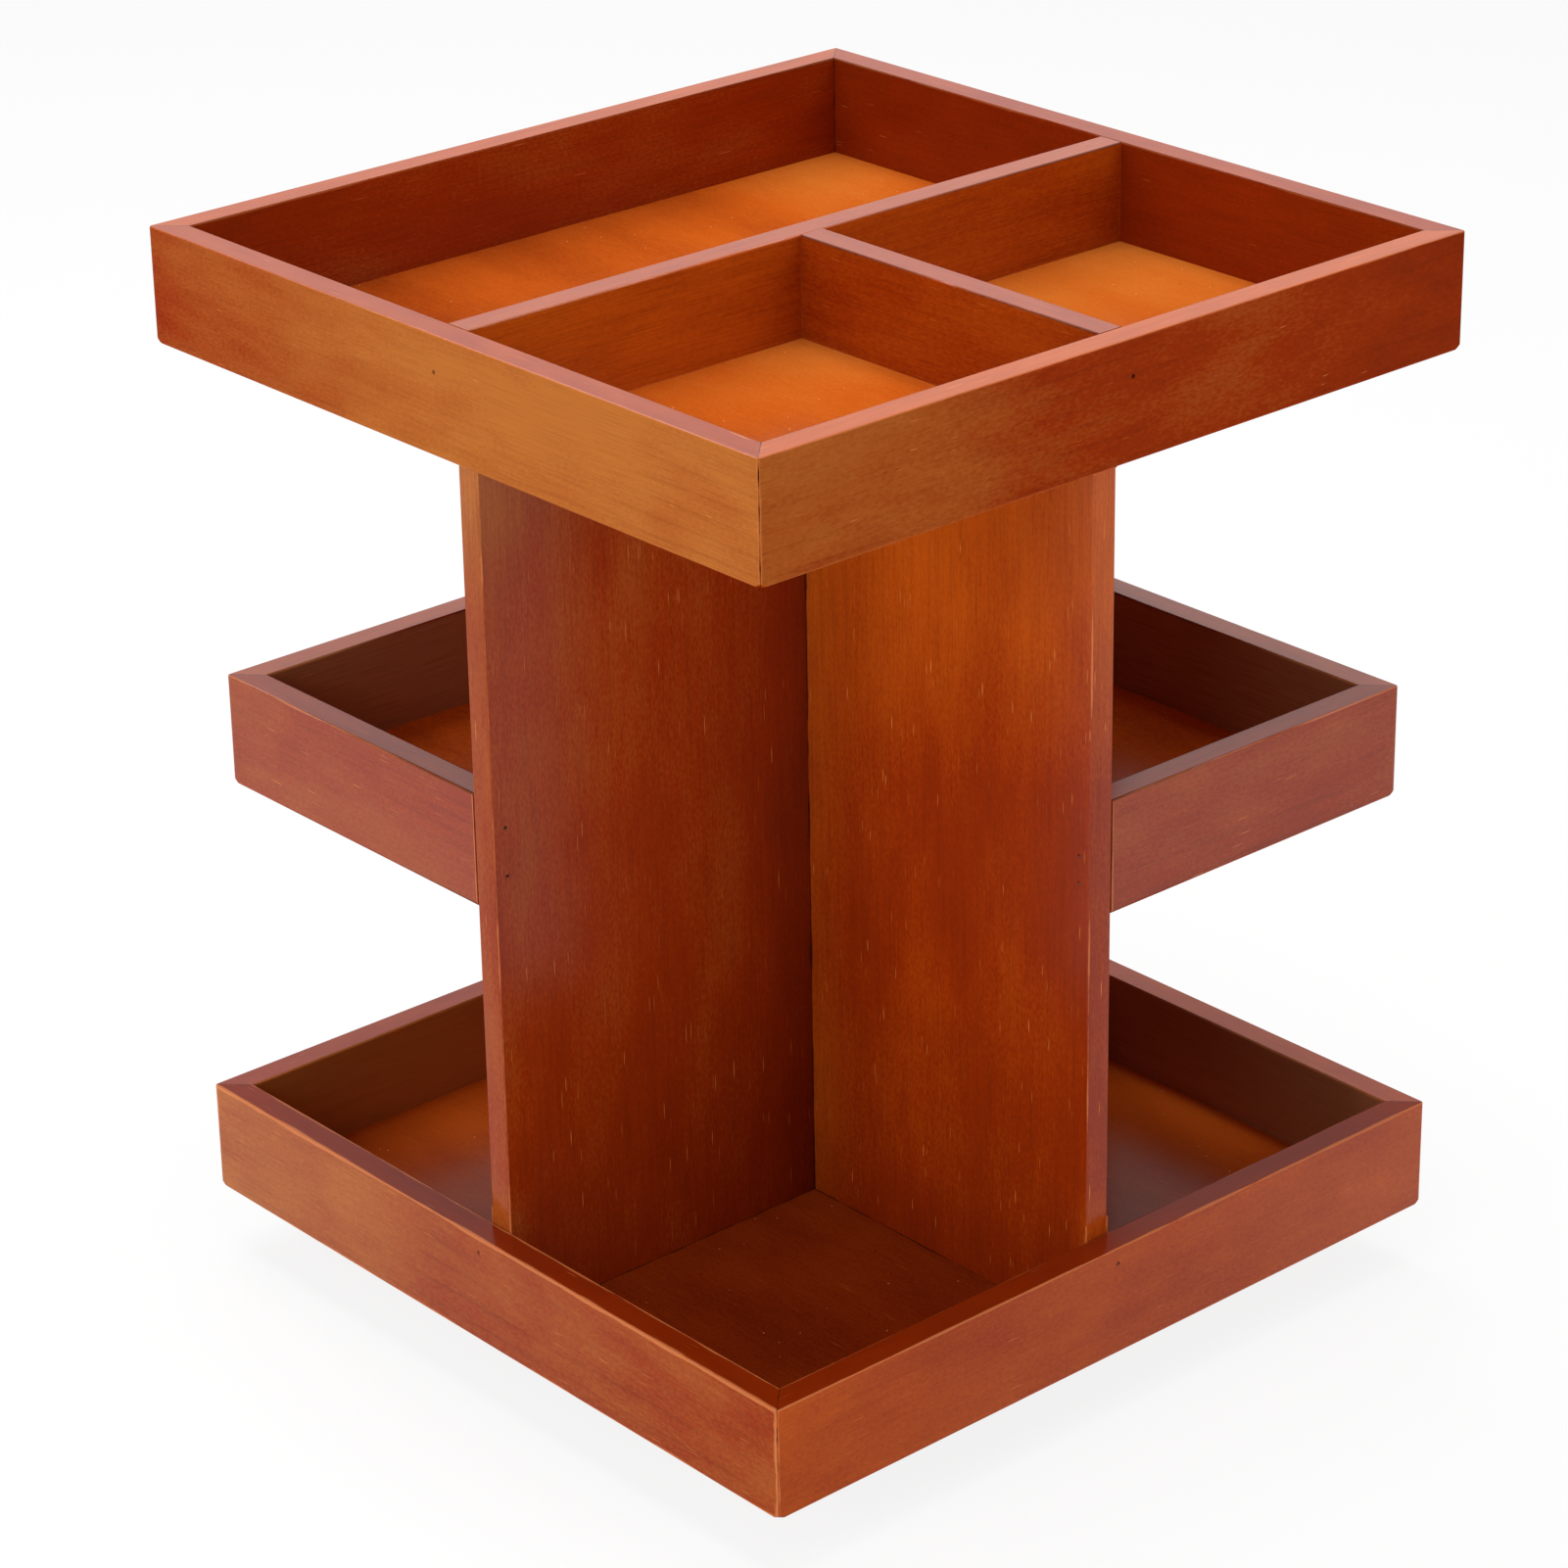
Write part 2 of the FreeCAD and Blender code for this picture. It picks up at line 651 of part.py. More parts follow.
def bearing_plate(name, label, inner_edge, level, turn):
    """A square plate with a pressed race. The inner edge is the outline of what
    the sheet does inside the race, from its upper side round to its lower side."""
    body = new_body(name)
    sketch = sketch_on(body, "XY_Plane")
    square(sketch, "-plate_side / 2", "plate_side / 2")
    pad(body, sketch, "plate_sheet")
    round_edges(body, "plate_corner", stands_upright)
    sketch = sketch_on(body, "XY_Plane")
    circle(sketch, "form_radius")
    pocket(body, sketch, "plate_sheet")

    sketch = sketch_on(body, "XZ_Plane")
    outline(sketch, [
        ("form_radius", "0"),
        ("form_radius", "plate_sheet"),
        ("form_radius - form_slope", SHOULDER),
        (f"race_radius + {RACE_HALF}", SHOULDER, (RACE_ARC, True)),
        (f"race_radius - {RACE_HALF}", SHOULDER),
        *inner_edge,
        (f"race_radius - {BEAD_HALF}", SHOULDER_UNDER, (BEAD_ARC, False)),
        (f"race_radius + {BEAD_HALF}", SHOULDER_UNDER),
        ("form_radius - form_slope - plate_sheet / 2", SHOULDER_UNDER),
        ("form_radius - plate_sheet", "0"),
    ])
    revolve(body, sketch)

    sketch = sketch_on(body, "XY_Plane")
    circle(sketch, "plate_hole / 2", "hole_spacing / 2", "hole_spacing / 2")
    hole = pocket(body, sketch, "plate_sheet")
    repeat_round(body, [hole], "4")
    place(body, z=level, turn=turn)
    return node(body, label)


HEM_UNDER = f"(bearing_height - {SHOULDER_UNDER} + eye_play)"
UPPER_LIP = "eye_radius + eye_play"
bearing_plate("pressed_lower_plate", "lower_bearing_plate", [
    ("eye_radius", SHOULDER),
    ("eye_radius", HEM_UNDER),
    (f"{UPPER_LIP} + hem_reach", HEM_UNDER),
    (f"{UPPER_LIP} + hem_reach", f"{HEM_UNDER} + plate_sheet"),
    ("eye_radius - plate_sheet", f"{HEM_UNDER} + plate_sheet"),
    ("eye_radius - plate_sheet", SHOULDER_UNDER),
], BEARING_LEVEL, UPRIGHT)
bearing_plate("pressed_upper_plate", "upper_bearing_plate", [
    (UPPER_LIP, SHOULDER),
    (UPPER_LIP, SHOULDER_UNDER),
], TRAY_LEVEL, UPSIDE_DOWN)

balls = new_body("balls")
ball = balls.newObject("PartDesign::AdditiveSphere", "ball")
bind(ball, "Radius", "ball_diameter / 2")
bind(ball, "Placement.Base.x", "race_radius")
repeat_round(balls, [ball], "ball_count", separate=True)
place(balls, z=f"{BEARING_LEVEL} + {BALL_LEVEL}")
node(balls, "bearing_balls")

cage = new_body("cage")
cage_sketch = sketch_on(cage, "XY_Plane", "-cage_thickness / 2")
circle(cage_sketch, "race_radius + cage_width / 2")
circle(cage_sketch, "race_radius - cage_width / 2")
pad(cage, cage_sketch, "cage_thickness")
pocket_sketch = sketch_on(cage, "XY_Plane", "-cage_thickness / 2")
circle(pocket_sketch, "ball_diameter / 2 + pocket_play", "race_radius")
ball_pocket = pocket(cage, pocket_sketch, "cage_thickness")
repeat_round(cage, [ball_pocket], "ball_count")
place(cage, z=f"{BEARING_LEVEL} + {BALL_LEVEL}")
node(cage, "ball_cage")

# Base board. Turned by an eighth, each corner hole of the upper plate comes over
# the access hole, so that its screw can be driven from below.

board = new_body("board")
board_sketch = sketch_on(board, "XY_Plane")
circle(board_sketch, "board_diameter / 2")
pad(board, board_sketch, "board_thickness")
round_edges(board, "board_round", lambda edge: not stands_upright(edge) and near(edge.BoundBox.ZLength, 0))
access_sketch = sketch_on(board, "XY_Plane")
circle(access_sketch, "access_hole / 2", "hole_spacing / sqrt(2)")
pocket(board, access_sketch, "board_thickness")
place(board, z="foot_height")
drilled("base_board", board, board_screws)

feet = new_body("feet")
foot_sketch = sketch_on(feet, "XY_Plane")
circle(foot_sketch, "foot_diameter / 2", "foot_circle")
foot = pad(feet, foot_sketch, "foot_height")
repeat_round(feet, [foot], "foot_count", separate=True)
round_edges(feet, "foot_round", lambda edge: lies_level(edge, 0))
place(feet, turn=EIGHTH_TURN)
node(feet, "rubber_feet")


# Checks, then one file for each piece

doc.recompute()
for thing in doc.Objects:
    if "Invalid" in thing.State or "Error" in thing.State:
        raise RuntimeError(f"{thing.Name} failed: {thing.State}")

os.makedirs("parts", exist_ok=True)
for piece in NODES:
    shape = piece.Shape
    if shape.isNull() or not shape.isValid() or not shape.Solids:
        raise RuntimeError(f"{piece.Label} has no valid solid")
    if len(shape.Solids) == 1:
        shape = shape.Solids[0]
    shape.exportStep(f"parts/{piece.Label}.step")
    box = shape.BoundBox
    print(
        f"{piece.Label}: {len(shape.Solids)} solid, {shape.Volume:.1f} mm3,"
        f" x {box.XMin:.2f} to {box.XMax:.2f}, y {box.YMin:.2f} to {box.YMax:.2f},"
        f" z {box.ZMin:.2f} to {box.ZMax:.2f}")
print(f"{len(NODES)} nodes")
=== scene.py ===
"""Finishes a revolving wooden organizer and sets a plain studio round it.

Two square trays hold a column of two crossed panels, two quarter trays sit half
way up, and a ball bearing on a round board carries it all. Every board gets its
broken edges, its stain and its lacquer, and the bearing its plated steel.
"""

import json
import math
from functools import partial
from typing import NamedTuple

import bmesh
import bpy
from bpy.props import FloatProperty, FloatVectorProperty, PointerProperty
from mathutils import Matrix, Vector

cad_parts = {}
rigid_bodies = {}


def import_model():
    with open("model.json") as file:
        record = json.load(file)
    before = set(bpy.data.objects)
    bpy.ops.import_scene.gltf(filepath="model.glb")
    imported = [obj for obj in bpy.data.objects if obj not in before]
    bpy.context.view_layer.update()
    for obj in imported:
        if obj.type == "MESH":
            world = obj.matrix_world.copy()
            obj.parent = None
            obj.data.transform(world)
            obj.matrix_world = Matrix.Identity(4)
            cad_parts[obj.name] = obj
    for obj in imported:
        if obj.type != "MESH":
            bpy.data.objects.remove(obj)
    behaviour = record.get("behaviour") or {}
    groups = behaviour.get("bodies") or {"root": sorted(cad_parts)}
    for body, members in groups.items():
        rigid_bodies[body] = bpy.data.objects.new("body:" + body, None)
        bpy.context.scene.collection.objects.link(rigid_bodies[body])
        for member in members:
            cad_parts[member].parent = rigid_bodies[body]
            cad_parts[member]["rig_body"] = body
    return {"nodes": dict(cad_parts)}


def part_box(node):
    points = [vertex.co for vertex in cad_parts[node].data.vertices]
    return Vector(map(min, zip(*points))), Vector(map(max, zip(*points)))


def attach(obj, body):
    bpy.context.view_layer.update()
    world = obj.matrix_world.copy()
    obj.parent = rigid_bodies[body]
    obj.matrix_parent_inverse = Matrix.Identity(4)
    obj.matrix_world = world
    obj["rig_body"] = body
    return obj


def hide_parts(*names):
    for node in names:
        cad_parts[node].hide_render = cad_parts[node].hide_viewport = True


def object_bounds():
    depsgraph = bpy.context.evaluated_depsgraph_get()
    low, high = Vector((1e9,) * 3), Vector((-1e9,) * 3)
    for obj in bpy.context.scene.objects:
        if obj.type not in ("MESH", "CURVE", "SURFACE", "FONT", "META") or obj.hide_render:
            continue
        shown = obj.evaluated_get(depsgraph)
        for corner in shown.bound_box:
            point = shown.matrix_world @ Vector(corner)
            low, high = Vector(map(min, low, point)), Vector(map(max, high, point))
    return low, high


bl_info = {
    "name": "Revolving Organizer",
    "version": (1, 0, 0),
    "blender": (4, 5, 0),
    "location": "3D View > Sidebar > Organizer",
    "description": "Finishes the organizer's boards and bearing and lights them",
    "category": "Object",
}

MM = 0.001

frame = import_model()
CAD_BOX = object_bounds()


def linear(code):
    """A colour written as sRGB hex, as linear light."""
    channels = [int(code[place:place + 2], 16) / 255 for place in (1, 3, 5)]
    return tuple(c / 12.92 if c <= 0.04045 else ((c + 0.055) / 1.055) ** 2.4 for c in channels)


def colour_property(name, description, code):
    return FloatVectorProperty(
        name=name, description=description, default=linear(code), subtype="COLOR", size=3, min=0, max=1)


def length_property(name, description, millimetres):
    return FloatProperty(
        name=name, description=description, default=millimetres * MM, unit="LENGTH", min=0, precision=5)


def share_property(name, description, share):
    return FloatProperty(
        name=name, description=description, default=share, subtype="FACTOR", min=0, max=1)


def power_property(name, description, watts):
    return FloatProperty(name=name, description=description, default=watts, min=0, subtype="POWER")


# What a user would change


class OrganizerWood(bpy.types.PropertyGroup):
    """The boards' edges, stain and lacquer. Fibres, pores, specks and rubbed bands
    are finer in real wood, and are drawn as coarse as they need to show."""

    broken_edge: length_property("Broken edge", "How far sharp edges are sanded off", 0.18)
    golden_stain: colour_property("Golden stain", "Where the spray left the least stain", "#AF6528")
    orange_stain: colour_property("Orange stain", "Where a thin coat was wiped out evenly", "#C45A10")
    red_stain: colour_property("Red stain", "Where the spray left a full coat", "#8E2C04")
    # The deep stain in the front-back panel's inner corner is partly painted shade
    deep_stain: colour_property("Deep stain", "Where it ran together in corners", "#561404")
    # The overspray colour also stands for a painted whitish sheen on the low trays' inner faces
    overspray_and_sheen: colour_property(
        "Overspray", "Where the spray fell dry on the low trays' inner faces", "#A46A45")
    latewood: colour_property("Latewood", "The dark lines of the growth rings", "#5E1A08")
    rubbed_edge: colour_property("Rubbed edge", "Where sanding has thinned the stain", "#D88048")
    open_pore: colour_property("Open pore", "The pale flecks that the stain doesn't fill", "#E08A44")
    speck: colour_property("Speck", "The specks of dust in the lacquer", "#F0B880")
    glue_line: colour_property("Glue line", "The line in the mitred corners", "#3A1408")
    ply_stain: colour_property("Floor stain", "The floors' stained veneer", "#D27A2E")
    ply_shade: colour_property("Floor shade", "Where the floors' stain is full", "#BE5614")
    # This deep colour is also painted shade on the low tray's floor towards its near bay
    ply_deep: colour_property("Deep floor shade", "Where the floors' stain ran together", "#7A2406")
    ring_spacing: length_property("Ring spacing", "From one growth ring to the next", 5)
    fibre_width: length_property("Fibre width", "Width of the fine streaks along the grain", 0.4)
    pore_width: length_property("Pore width", "Width of an open pore", 0.3)
    pore_length: length_property("Pore length", "Length of an open pore", 6.5)
    pit_spacing: length_property("Pit spacing", "Side of the cells that hold one pit of a floor each", 7)
    pit_width: length_property("Pit width", "Width of such a pit", 0.84)
    speck_spacing: length_property("Speck spacing", "Side of the cells that hold one speck each", 5.5)
    speck_width: length_property("Speck width", "Width of such a speck", 0.6)
    rubbed_width: length_property("Rubbed width", "Width of the rubbed band along an edge", 0.45)
    glue_width: length_property("Glue line width", "Width of the dark line in a mitre", 0.22)
    pith: FloatVectorProperty(
        name="Pith", description="From the middle of the log to its boards", default=(0, 0.004, 0.045),
        subtype="TRANSLATION", unit="LENGTH", size=3)
    lacquer_roughness: share_property("Lacquer roughness", "0 is a mirror, 1 is matt", 0.2)


class OrganizerMetal(bpy.types.PropertyGroup):
    """The bearing, the screws, the nails and the feet."""

    zinc: colour_property("Zinc", "The plating of the bearing's plates", "#B9BCC0")
    yellow_zinc: colour_property("Yellow zinc", "The plating of the screws", "#C9A85C")
    ball_steel: colour_property("Ball steel", "The polished balls", "#C4C6C9")
    nail_steel: colour_property("Nail steel", "The set ends of the nails", "#7A4A28")
    nylon: colour_property("Nylon", "The ball cage", "#D9D4C8")
    rubber: colour_property("Rubber", "The feet", "#1E1E1F")


class OrganizerStudio(bpy.types.PropertyGroup):
    """The floor, the lamps and the camera."""

    floor_colour: colour_property("Floor", "The pale floor", "#F4F4F4")
    floor_lift: share_property("Floor lift", "How far the floor is seen as white, shadow apart", 0.86)
    floor_size: length_property("Floor size", "Side of the square floor", 8000)
    room_light: FloatProperty(
        name="Room light", description="Strength of the even light", default=0.2, min=0)
    overhead_lamp: power_property("Overhead lamp", "The large lamp above", 19)
    front_lamp: power_property("Front lamp", "The low lamp before the front walls", 16.7)
    front_right_lamp: power_property("Front right lamp", "The higher lamp before the near corner", 5.8)
    right_lamp: power_property("Right lamp", "The low lamp before the right walls", 10.4)
    left_lamp: power_property("Left lamp", "The high lamp at the left", 15.6)
    back_lamp: power_property("Back lamp", "The high lamp behind the right corner", 5)
    lamp_size: length_property("Lamp size", "Side of each square lamp", 1000)
    lamp_distance: length_property("Lamp distance", "From each lamp to the middle of the object", 1900)
    camera_azimuth: FloatProperty(
        name="Azimuth", description="Where the camera stands", default=math.radians(48.93),
        subtype="ANGLE")
    camera_elevation: FloatProperty(
        name="Elevation", description="How high it stands", default=math.radians(24.2), subtype="ANGLE")
    camera_roll: FloatProperty(
        name="Roll", description="Its lean to one side", default=math.radians(-1.0), subtype="ANGLE")
    camera_distance: length_property("Distance", "From the camera to what it looks at", 1315.7)
    camera_lens: FloatProperty(
        name="Lens", description="Focal length in millimetres", default=112.62, min=1, unit="CAMERA")
    camera_target: FloatVectorProperty(
        name="Target", description="The point in the middle of the picture",
        default=(0.062, -0.06397, 0.1944), subtype="TRANSLATION", unit="LENGTH", size=3)


# Materials


def add_node(tree, kind, inputs, output=0, **settings):
    """Add a shader node, and give back one of its outputs. An input takes a
    value, or the output that feeds it."""
    made = tree.nodes.new(f"ShaderNode{kind}")
    for name, value in settings.items():
        setattr(made, name, value)
    for key, value in inputs.items():
        if isinstance(value, bpy.types.NodeSocket):
            tree.links.new(value, made.inputs[key])
        else:
            made.inputs[key].default_value = value
    return made.outputs[output] if made.outputs else None


def new_material(name):
    """An empty material, and a way to add nodes to it."""
    material = bpy.data.materials.new(name)
    material.use_nodes = True
    material.node_tree.nodes.clear()
    return material, partial(add_node, material.node_tree)


def opaque(colour):
    return (*colour, 1.0)


# The colour that a Mix node gives, among its outputs for other kinds of data
MIX_RESULT = 2


def tint(share, first, second):
    """What a Mix node of two colours takes."""
    return {0: share, 6: first, 7: second}


def span(value, low, high, to_low=0.0, to_high=1.0):
    """What a Map Range node takes to bring a value from one span to another."""
    return {"Value": value, "From Min": low, "From Max": high, "To Min": to_low, "To Max": to_high}


# A soft pattern goes from 0 to 1: the span that holds nearly all of it, the one that holds most,
# and one that ends early, so that more of the pattern has its full strength
NEARLY_ALL = (0.3, 0.7)
MOST = (0.35, 0.65)
GROUPED = (0.35, 0.6)

# How much of a face's normal points one way before the face counts as looking that way
TURNING = (0.5, 0.9)

# The part of a dot, and of a stroke or line, that has its full strength
DOT_CORE = 0.5
LINE_CORE = 0.4


def per(along, across):
    """The scale that makes a pattern's unit so long and so wide."""
    return (1 / along, 1 / across, 1 / across)


def patches(add, vector, along, across, detail=2.0):
    """A soft irregular pattern with patches so long and so wide, in metres."""
    sized = add("Mapping", {"Vector": vector, "Scale": per(along, across)})
    return add("TexNoise", {"Vector": sized, "Scale": 1.0, "Detail": detail, "Roughness": 0.5})


# The turns that bring the grain to X
GRAIN_TURN = {
    "X": (0, 0, 0),
    "Y": (0, 0, -math.pi / 2),
    "Z": (0, math.pi / 2, 0),
}


def grain_coordinates(add, board):
    """Coordinates with the grain along X, in another part of the log for each board."""
    spot = add("TexCoord", {}, "Object")
    return add("Mapping", {"Vector": spot, "Rotation": GRAIN_TURN[board.grain], "Location": board.log})


GRAIN_AXIS = {"X": (1, 0, 0), "Y": (0, 1, 0), "Z": (0, 0, 1)}


def along_board(add, board, stops):
    """A value that changes evenly from stop to stop along a board."""
    way = Vector(board.fade or GRAIN_AXIS[board.grain])
    low, high = (Vector(corner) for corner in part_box(board.node))
    middle = way.dot(low + high) / 2
    reach = sum(abs(part) * length for part, length in zip(way, (high - low) / 2))
    spot = add("VectorMath", {0: add("TexCoord", {}, "Object"), 1: way}, "Value",
               operation="DOT_PRODUCT")
    start = middle - reach
    step = 2 * reach / (len(stops) - 1)
    value = stops[0]
    for first, second in zip(stops, stops[1:]):
        change = add("MapRange", span(spot, start, start + step, 0.0, second - first))
        value = add("Math", {0: value, 1: change}, operation="ADD")
        start += step
    return value


# The size of a seam's uneven parts, how far its line reaches beyond a panel's face, its soft
# edge and its strength
SEAM_PATCH = 0.012
SEAM_LEAST = -0.1 * MM
SEAM_MOST = 0.6 * MM
SEAM_BLUR = 0.2 * MM
SEAM_STRENGTH = 0.85


def seamed(add, board, wood, stain):
    """The stain with a dark line of glue and dust where the board meets the panels.
    The line reaches more or less far beyond the panels' faces."""
    if not board.seam:
        return stain
    spot = add("VectorMath", {0: add("TexCoord", {}, "Object")}, operation="ABSOLUTE")
    sides = [add("SeparateXYZ", {0: spot}, axis) for axis in (0, 1)]
    nearest = add("Math", {0: sides[0], 1: sides[1]}, operation=board.seam)
    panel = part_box("front_back_panel")[1][0]
    ragged = patches(add, add("TexCoord", {}, "Object"), SEAM_PATCH, SEAM_PATCH, detail=4)
    width = add("MapRange", span(ragged, *MOST, panel + SEAM_LEAST, panel + SEAM_MOST))
    inside = add("Math", {0: width, 1: nearest}, operation="SUBTRACT")
    line = add("MapRange", span(inside, -SEAM_BLUR, SEAM_BLUR, 0.0, SEAM_STRENGTH))
    return add("Mix", tint(line, stain, opaque(wood.glue_line)), MIX_RESULT, data_type="RGBA")


# How much paler the middle of a pale place is, how far the painted shade and light of the
# column's inner corners reach, and how much of a narrow edge's normal points along the panel
PALER = 0.7
POOLING_AND_SHADE_REACH = 0.032
END_ON = (0.5, 1.0)


def stain_and_painted_light(add, board, patterns):
    """How thick the stain lies, with painted light and shade in some places. It changes along the
    board, in its pale places, in the column's inner corners and on a panel's narrow edges, and it
    is uneven. Along the low tray's floor and up the left-right panel the change is partly painted
    shade and light, the floors' pale places are painted light, and the column's inner corners are
    painted shade beside stain that ran together, and painted light on the left-right panel."""
    tone = along_board(add, board, board.tones)
    spot = add("TexCoord", {}, "Object")
    # Pale places: painted light on the floors, thinner stain at the panels' ends
    for place, reach in board.pale:
        distance = add("VectorMath", {0: spot, 1: place}, "Value", operation="DISTANCE")
        change = add("MapRange", span(distance, 0.0, reach, -PALER, 0.0),
                     interpolation_type="SMOOTHSTEP")
        tone = add("Math", {0: tone, 1: change}, operation="ADD")
    # The column's inner corners: painted shade beside stain that ran together where darker, painted
    # light where paler
    if board.pooling_and_shade:
        across = add("VectorMath", {0: spot, 1: (1, 1, 0)}, operation="MULTIPLY")
        distance = add("VectorMath", {0: across}, "Value", operation="LENGTH")
        change = add("MapRange", span(distance, POOLING_AND_SHADE_REACH, 0.0, 0.0, board.pooling_and_shade),
                     interpolation_type="SMOOTHSTEP")
        tone = add("Math", {0: tone, 1: change}, operation="ADD")
    if board.ends:
        low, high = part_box(board.node)
        axis = 0 if high[0] - low[0] > high[1] - low[1] else 1
        facing = add("VectorMath", {0: add("TexCoord", {}, "Normal")}, operation="ABSOLUTE")
        facing = add("SeparateXYZ", {0: facing}, axis)
        change = add("MapRange", span(facing, *END_ON, 0.0, -board.ends))
        tone = add("Math", {0: tone, 1: change}, operation="ADD")
    for pattern, strength in patterns:
        change = add("MapRange", span(pattern, *NEARLY_ALL, -strength, strength))
        tone = add("Math", {0: tone, 1: change}, operation="ADD")
    return tone


def stained(add, tone, thin, full, deep):
    """The stain's colour: thin at a tone of 0, full at 1 and deep at 2."""
    first = add("MapRange", span(tone, 0.0, 1.0))
    second = add("MapRange", span(tone, 1.0, 2.0))
    colour = add("Mix", tint(first, opaque(thin), opaque(full)), MIX_RESULT, data_type="RGBA")
    return add("Mix", tint(second, colour, opaque(deep)), MIX_RESULT, data_type="RGBA")


def facing_up(add):
    """How far the surface faces up or down, from 0 to 1."""
    normal = add("VectorMath", {0: add("TexCoord", {}, "Normal")}, operation="ABSOLUTE")
    return add("SeparateXYZ", {0: normal}, 2)


def edge_distance(add, board):
    """How far the surface is from the nearest edge of the board's box: the second
    smallest of its distances from the box's faces, in metres. A panel's ends are
    hidden, so there only its upright edges count."""
    low, high = (Vector(corner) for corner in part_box(board.node))
    spot = add("VectorMath", {0: add("TexCoord", {}, "Object"), 1: (low + high) / 2},
               operation="SUBTRACT")
    spot = add("VectorMath", {0: spot}, operation="ABSOLUTE")
    gaps = add("VectorMath", {0: (high - low) / 2, 1: spot}, operation="SUBTRACT")
    first, second, third = (add("SeparateXYZ", {0: gaps}, axis) for axis in range(3))
    nearer = add("Math", {0: first, 1: second}, operation="MINIMUM")
    further = add("Math", {0: first, 1: second}, operation="MAXIMUM")
    if board.grain == "Z":
        return further
    further = add("Math", {0: further, 1: third}, operation="MINIMUM")
    return add("Math", {0: nearer, 1: further}, operation="MAXIMUM")


# The size of a mitre's open and tight parts, how narrow and how wide its line gets, and how faint
MITRE_PATCH = 0.006
OPENED = (0.6, 1.9)
FAINTEST = 0.35


def mitre_mask(add, width):
    """How far the glue line shows in the upright planes of the mitred corners. It is
    wider where the joint has opened, and faint where it is tight."""
    spot = add("VectorMath", {0: add("TexCoord", {}, "Object")}, operation="ABSOLUTE")
    sides = [add("SeparateXYZ", {0: spot}, axis) for axis in (0, 1)]
    apart = add("Math", {0: sides[0], 1: sides[1]}, operation="SUBTRACT")
    apart = add("Math", {0: apart}, operation="ABSOLUTE")
    ragged = patches(add, add("TexCoord", {}, "Object"), MITRE_PATCH, MITRE_PATCH, detail=3)
    opened = add("MapRange", span(ragged, *MOST, *OPENED))
    apart = add("Math", {0: apart, 1: opened}, operation="DIVIDE")
    line = add("MapRange", span(apart, width, width * LINE_CORE), interpolation_type="SMOOTHSTEP")
    strength = add("MapRange", span(ragged, *GROUPED, FAINTEST, 1.0))
    return add("Math", {0: line, 1: strength}, operation="MULTIPLY")


def dots(add, vector, spacing, size):
    """Small round dots, at most so wide. Each cell of the given spacing holds one,
    and those that the surface cuts through show."""
    cells = add("Mapping", {"Vector": vector, "Scale": per(spacing, spacing)})
    distance = add("TexVoronoi", {"Vector": cells, "Scale": 1.0}, "Distance")
    reach = size / 2 / spacing
    return add("MapRange", span(distance, reach, reach * DOT_CORE), interpolation_type="SMOOTHSTEP")


# Half the length and width of a stroke in its cell, the share of cells that show none, the
# least and the greatest stroke beside that, the size of the loose groups, and how strong the
# strokes outside them are
PORE_REACH = 0.17
PORE_CHANCE = 0.35
PORE_SIZES = (0.25, 1.35)
PORE_GROUP = (0.05, 0.012)
PORE_FAINT = 0.25


def open_pores(add, vector, wood):
    """Short strokes where a vessel of the wood is cut open, in loose groups. A few
    are bright, most are faint, and some parts of a board have hardly any."""
    cells = per(wood.pore_length / 2 / PORE_REACH, wood.pore_width / 2 / PORE_REACH)
    inputs = {"Vector": add("Mapping", {"Vector": vector, "Scale": cells}), "Scale": 1.0}
    distance = add("TexVoronoi", inputs, "Distance")
    chance = add("TexVoronoi", inputs, "Color")
    strength = add("MapRange", span(add("SeparateXYZ", {0: chance}, 0), PORE_CHANCE, 1.0))
    size = add("MapRange", span(add("SeparateXYZ", {0: chance}, 1), 0.0, 1.0, *PORE_SIZES))
    spread = add("Math", {0: distance, 1: size}, operation="DIVIDE")
    stroke = add("MapRange", span(spread, PORE_REACH, PORE_REACH * LINE_CORE),
                 interpolation_type="SMOOTHSTEP")
    group = add("MapRange", span(patches(add, vector, *PORE_GROUP), *GROUPED, PORE_FAINT, 1.0))
    strength = add("Math", {0: strength, 1: group}, operation="MULTIPLY")
    return add("Math", {0: stroke, 1: strength}, operation="MULTIPLY")


LACQUER_IOR = 1.5

# Patterns in the wood and its stain, along and across the grain, in metres. The speckle is
# pigment in the pores, which is finer in real wood than the render can show
CLOUD = (0.07, 0.025)
BLOTCH = (0.02, 0.008)
SPECKLE = (0.0016, 0.0007)
FIBRE_LENGTH = 0.02

# How much of a board's unevenness the blotches have, and what changes it on every board
BLOTCH_SHARE = 0.5
SPECKLE_CHANGE = 0.14
RIM_CHANGE = 0.12

# How little the rings change along the log, how far they waver, and where each pattern is dark
TAPER = 0.12
WAVER = 9.0
LATEWOOD = (0.7, 1.0)
FIGURED = (0.45, 0.6)
STREAKED = (0.4, 0.7)

# How narrow and how wide the rubbed band gets beside its usual width, and how much of it is soft
RUBBED = (0.5, 1.5)
SOFT_BAND = 0.5

# How high the fibres stand, beside the depth of an open pore
FIBRE_RELIEF = 0.4

# From one ring of a wave texture to the next at a scale of 1
WAVE_PERIOD = math.pi / 10


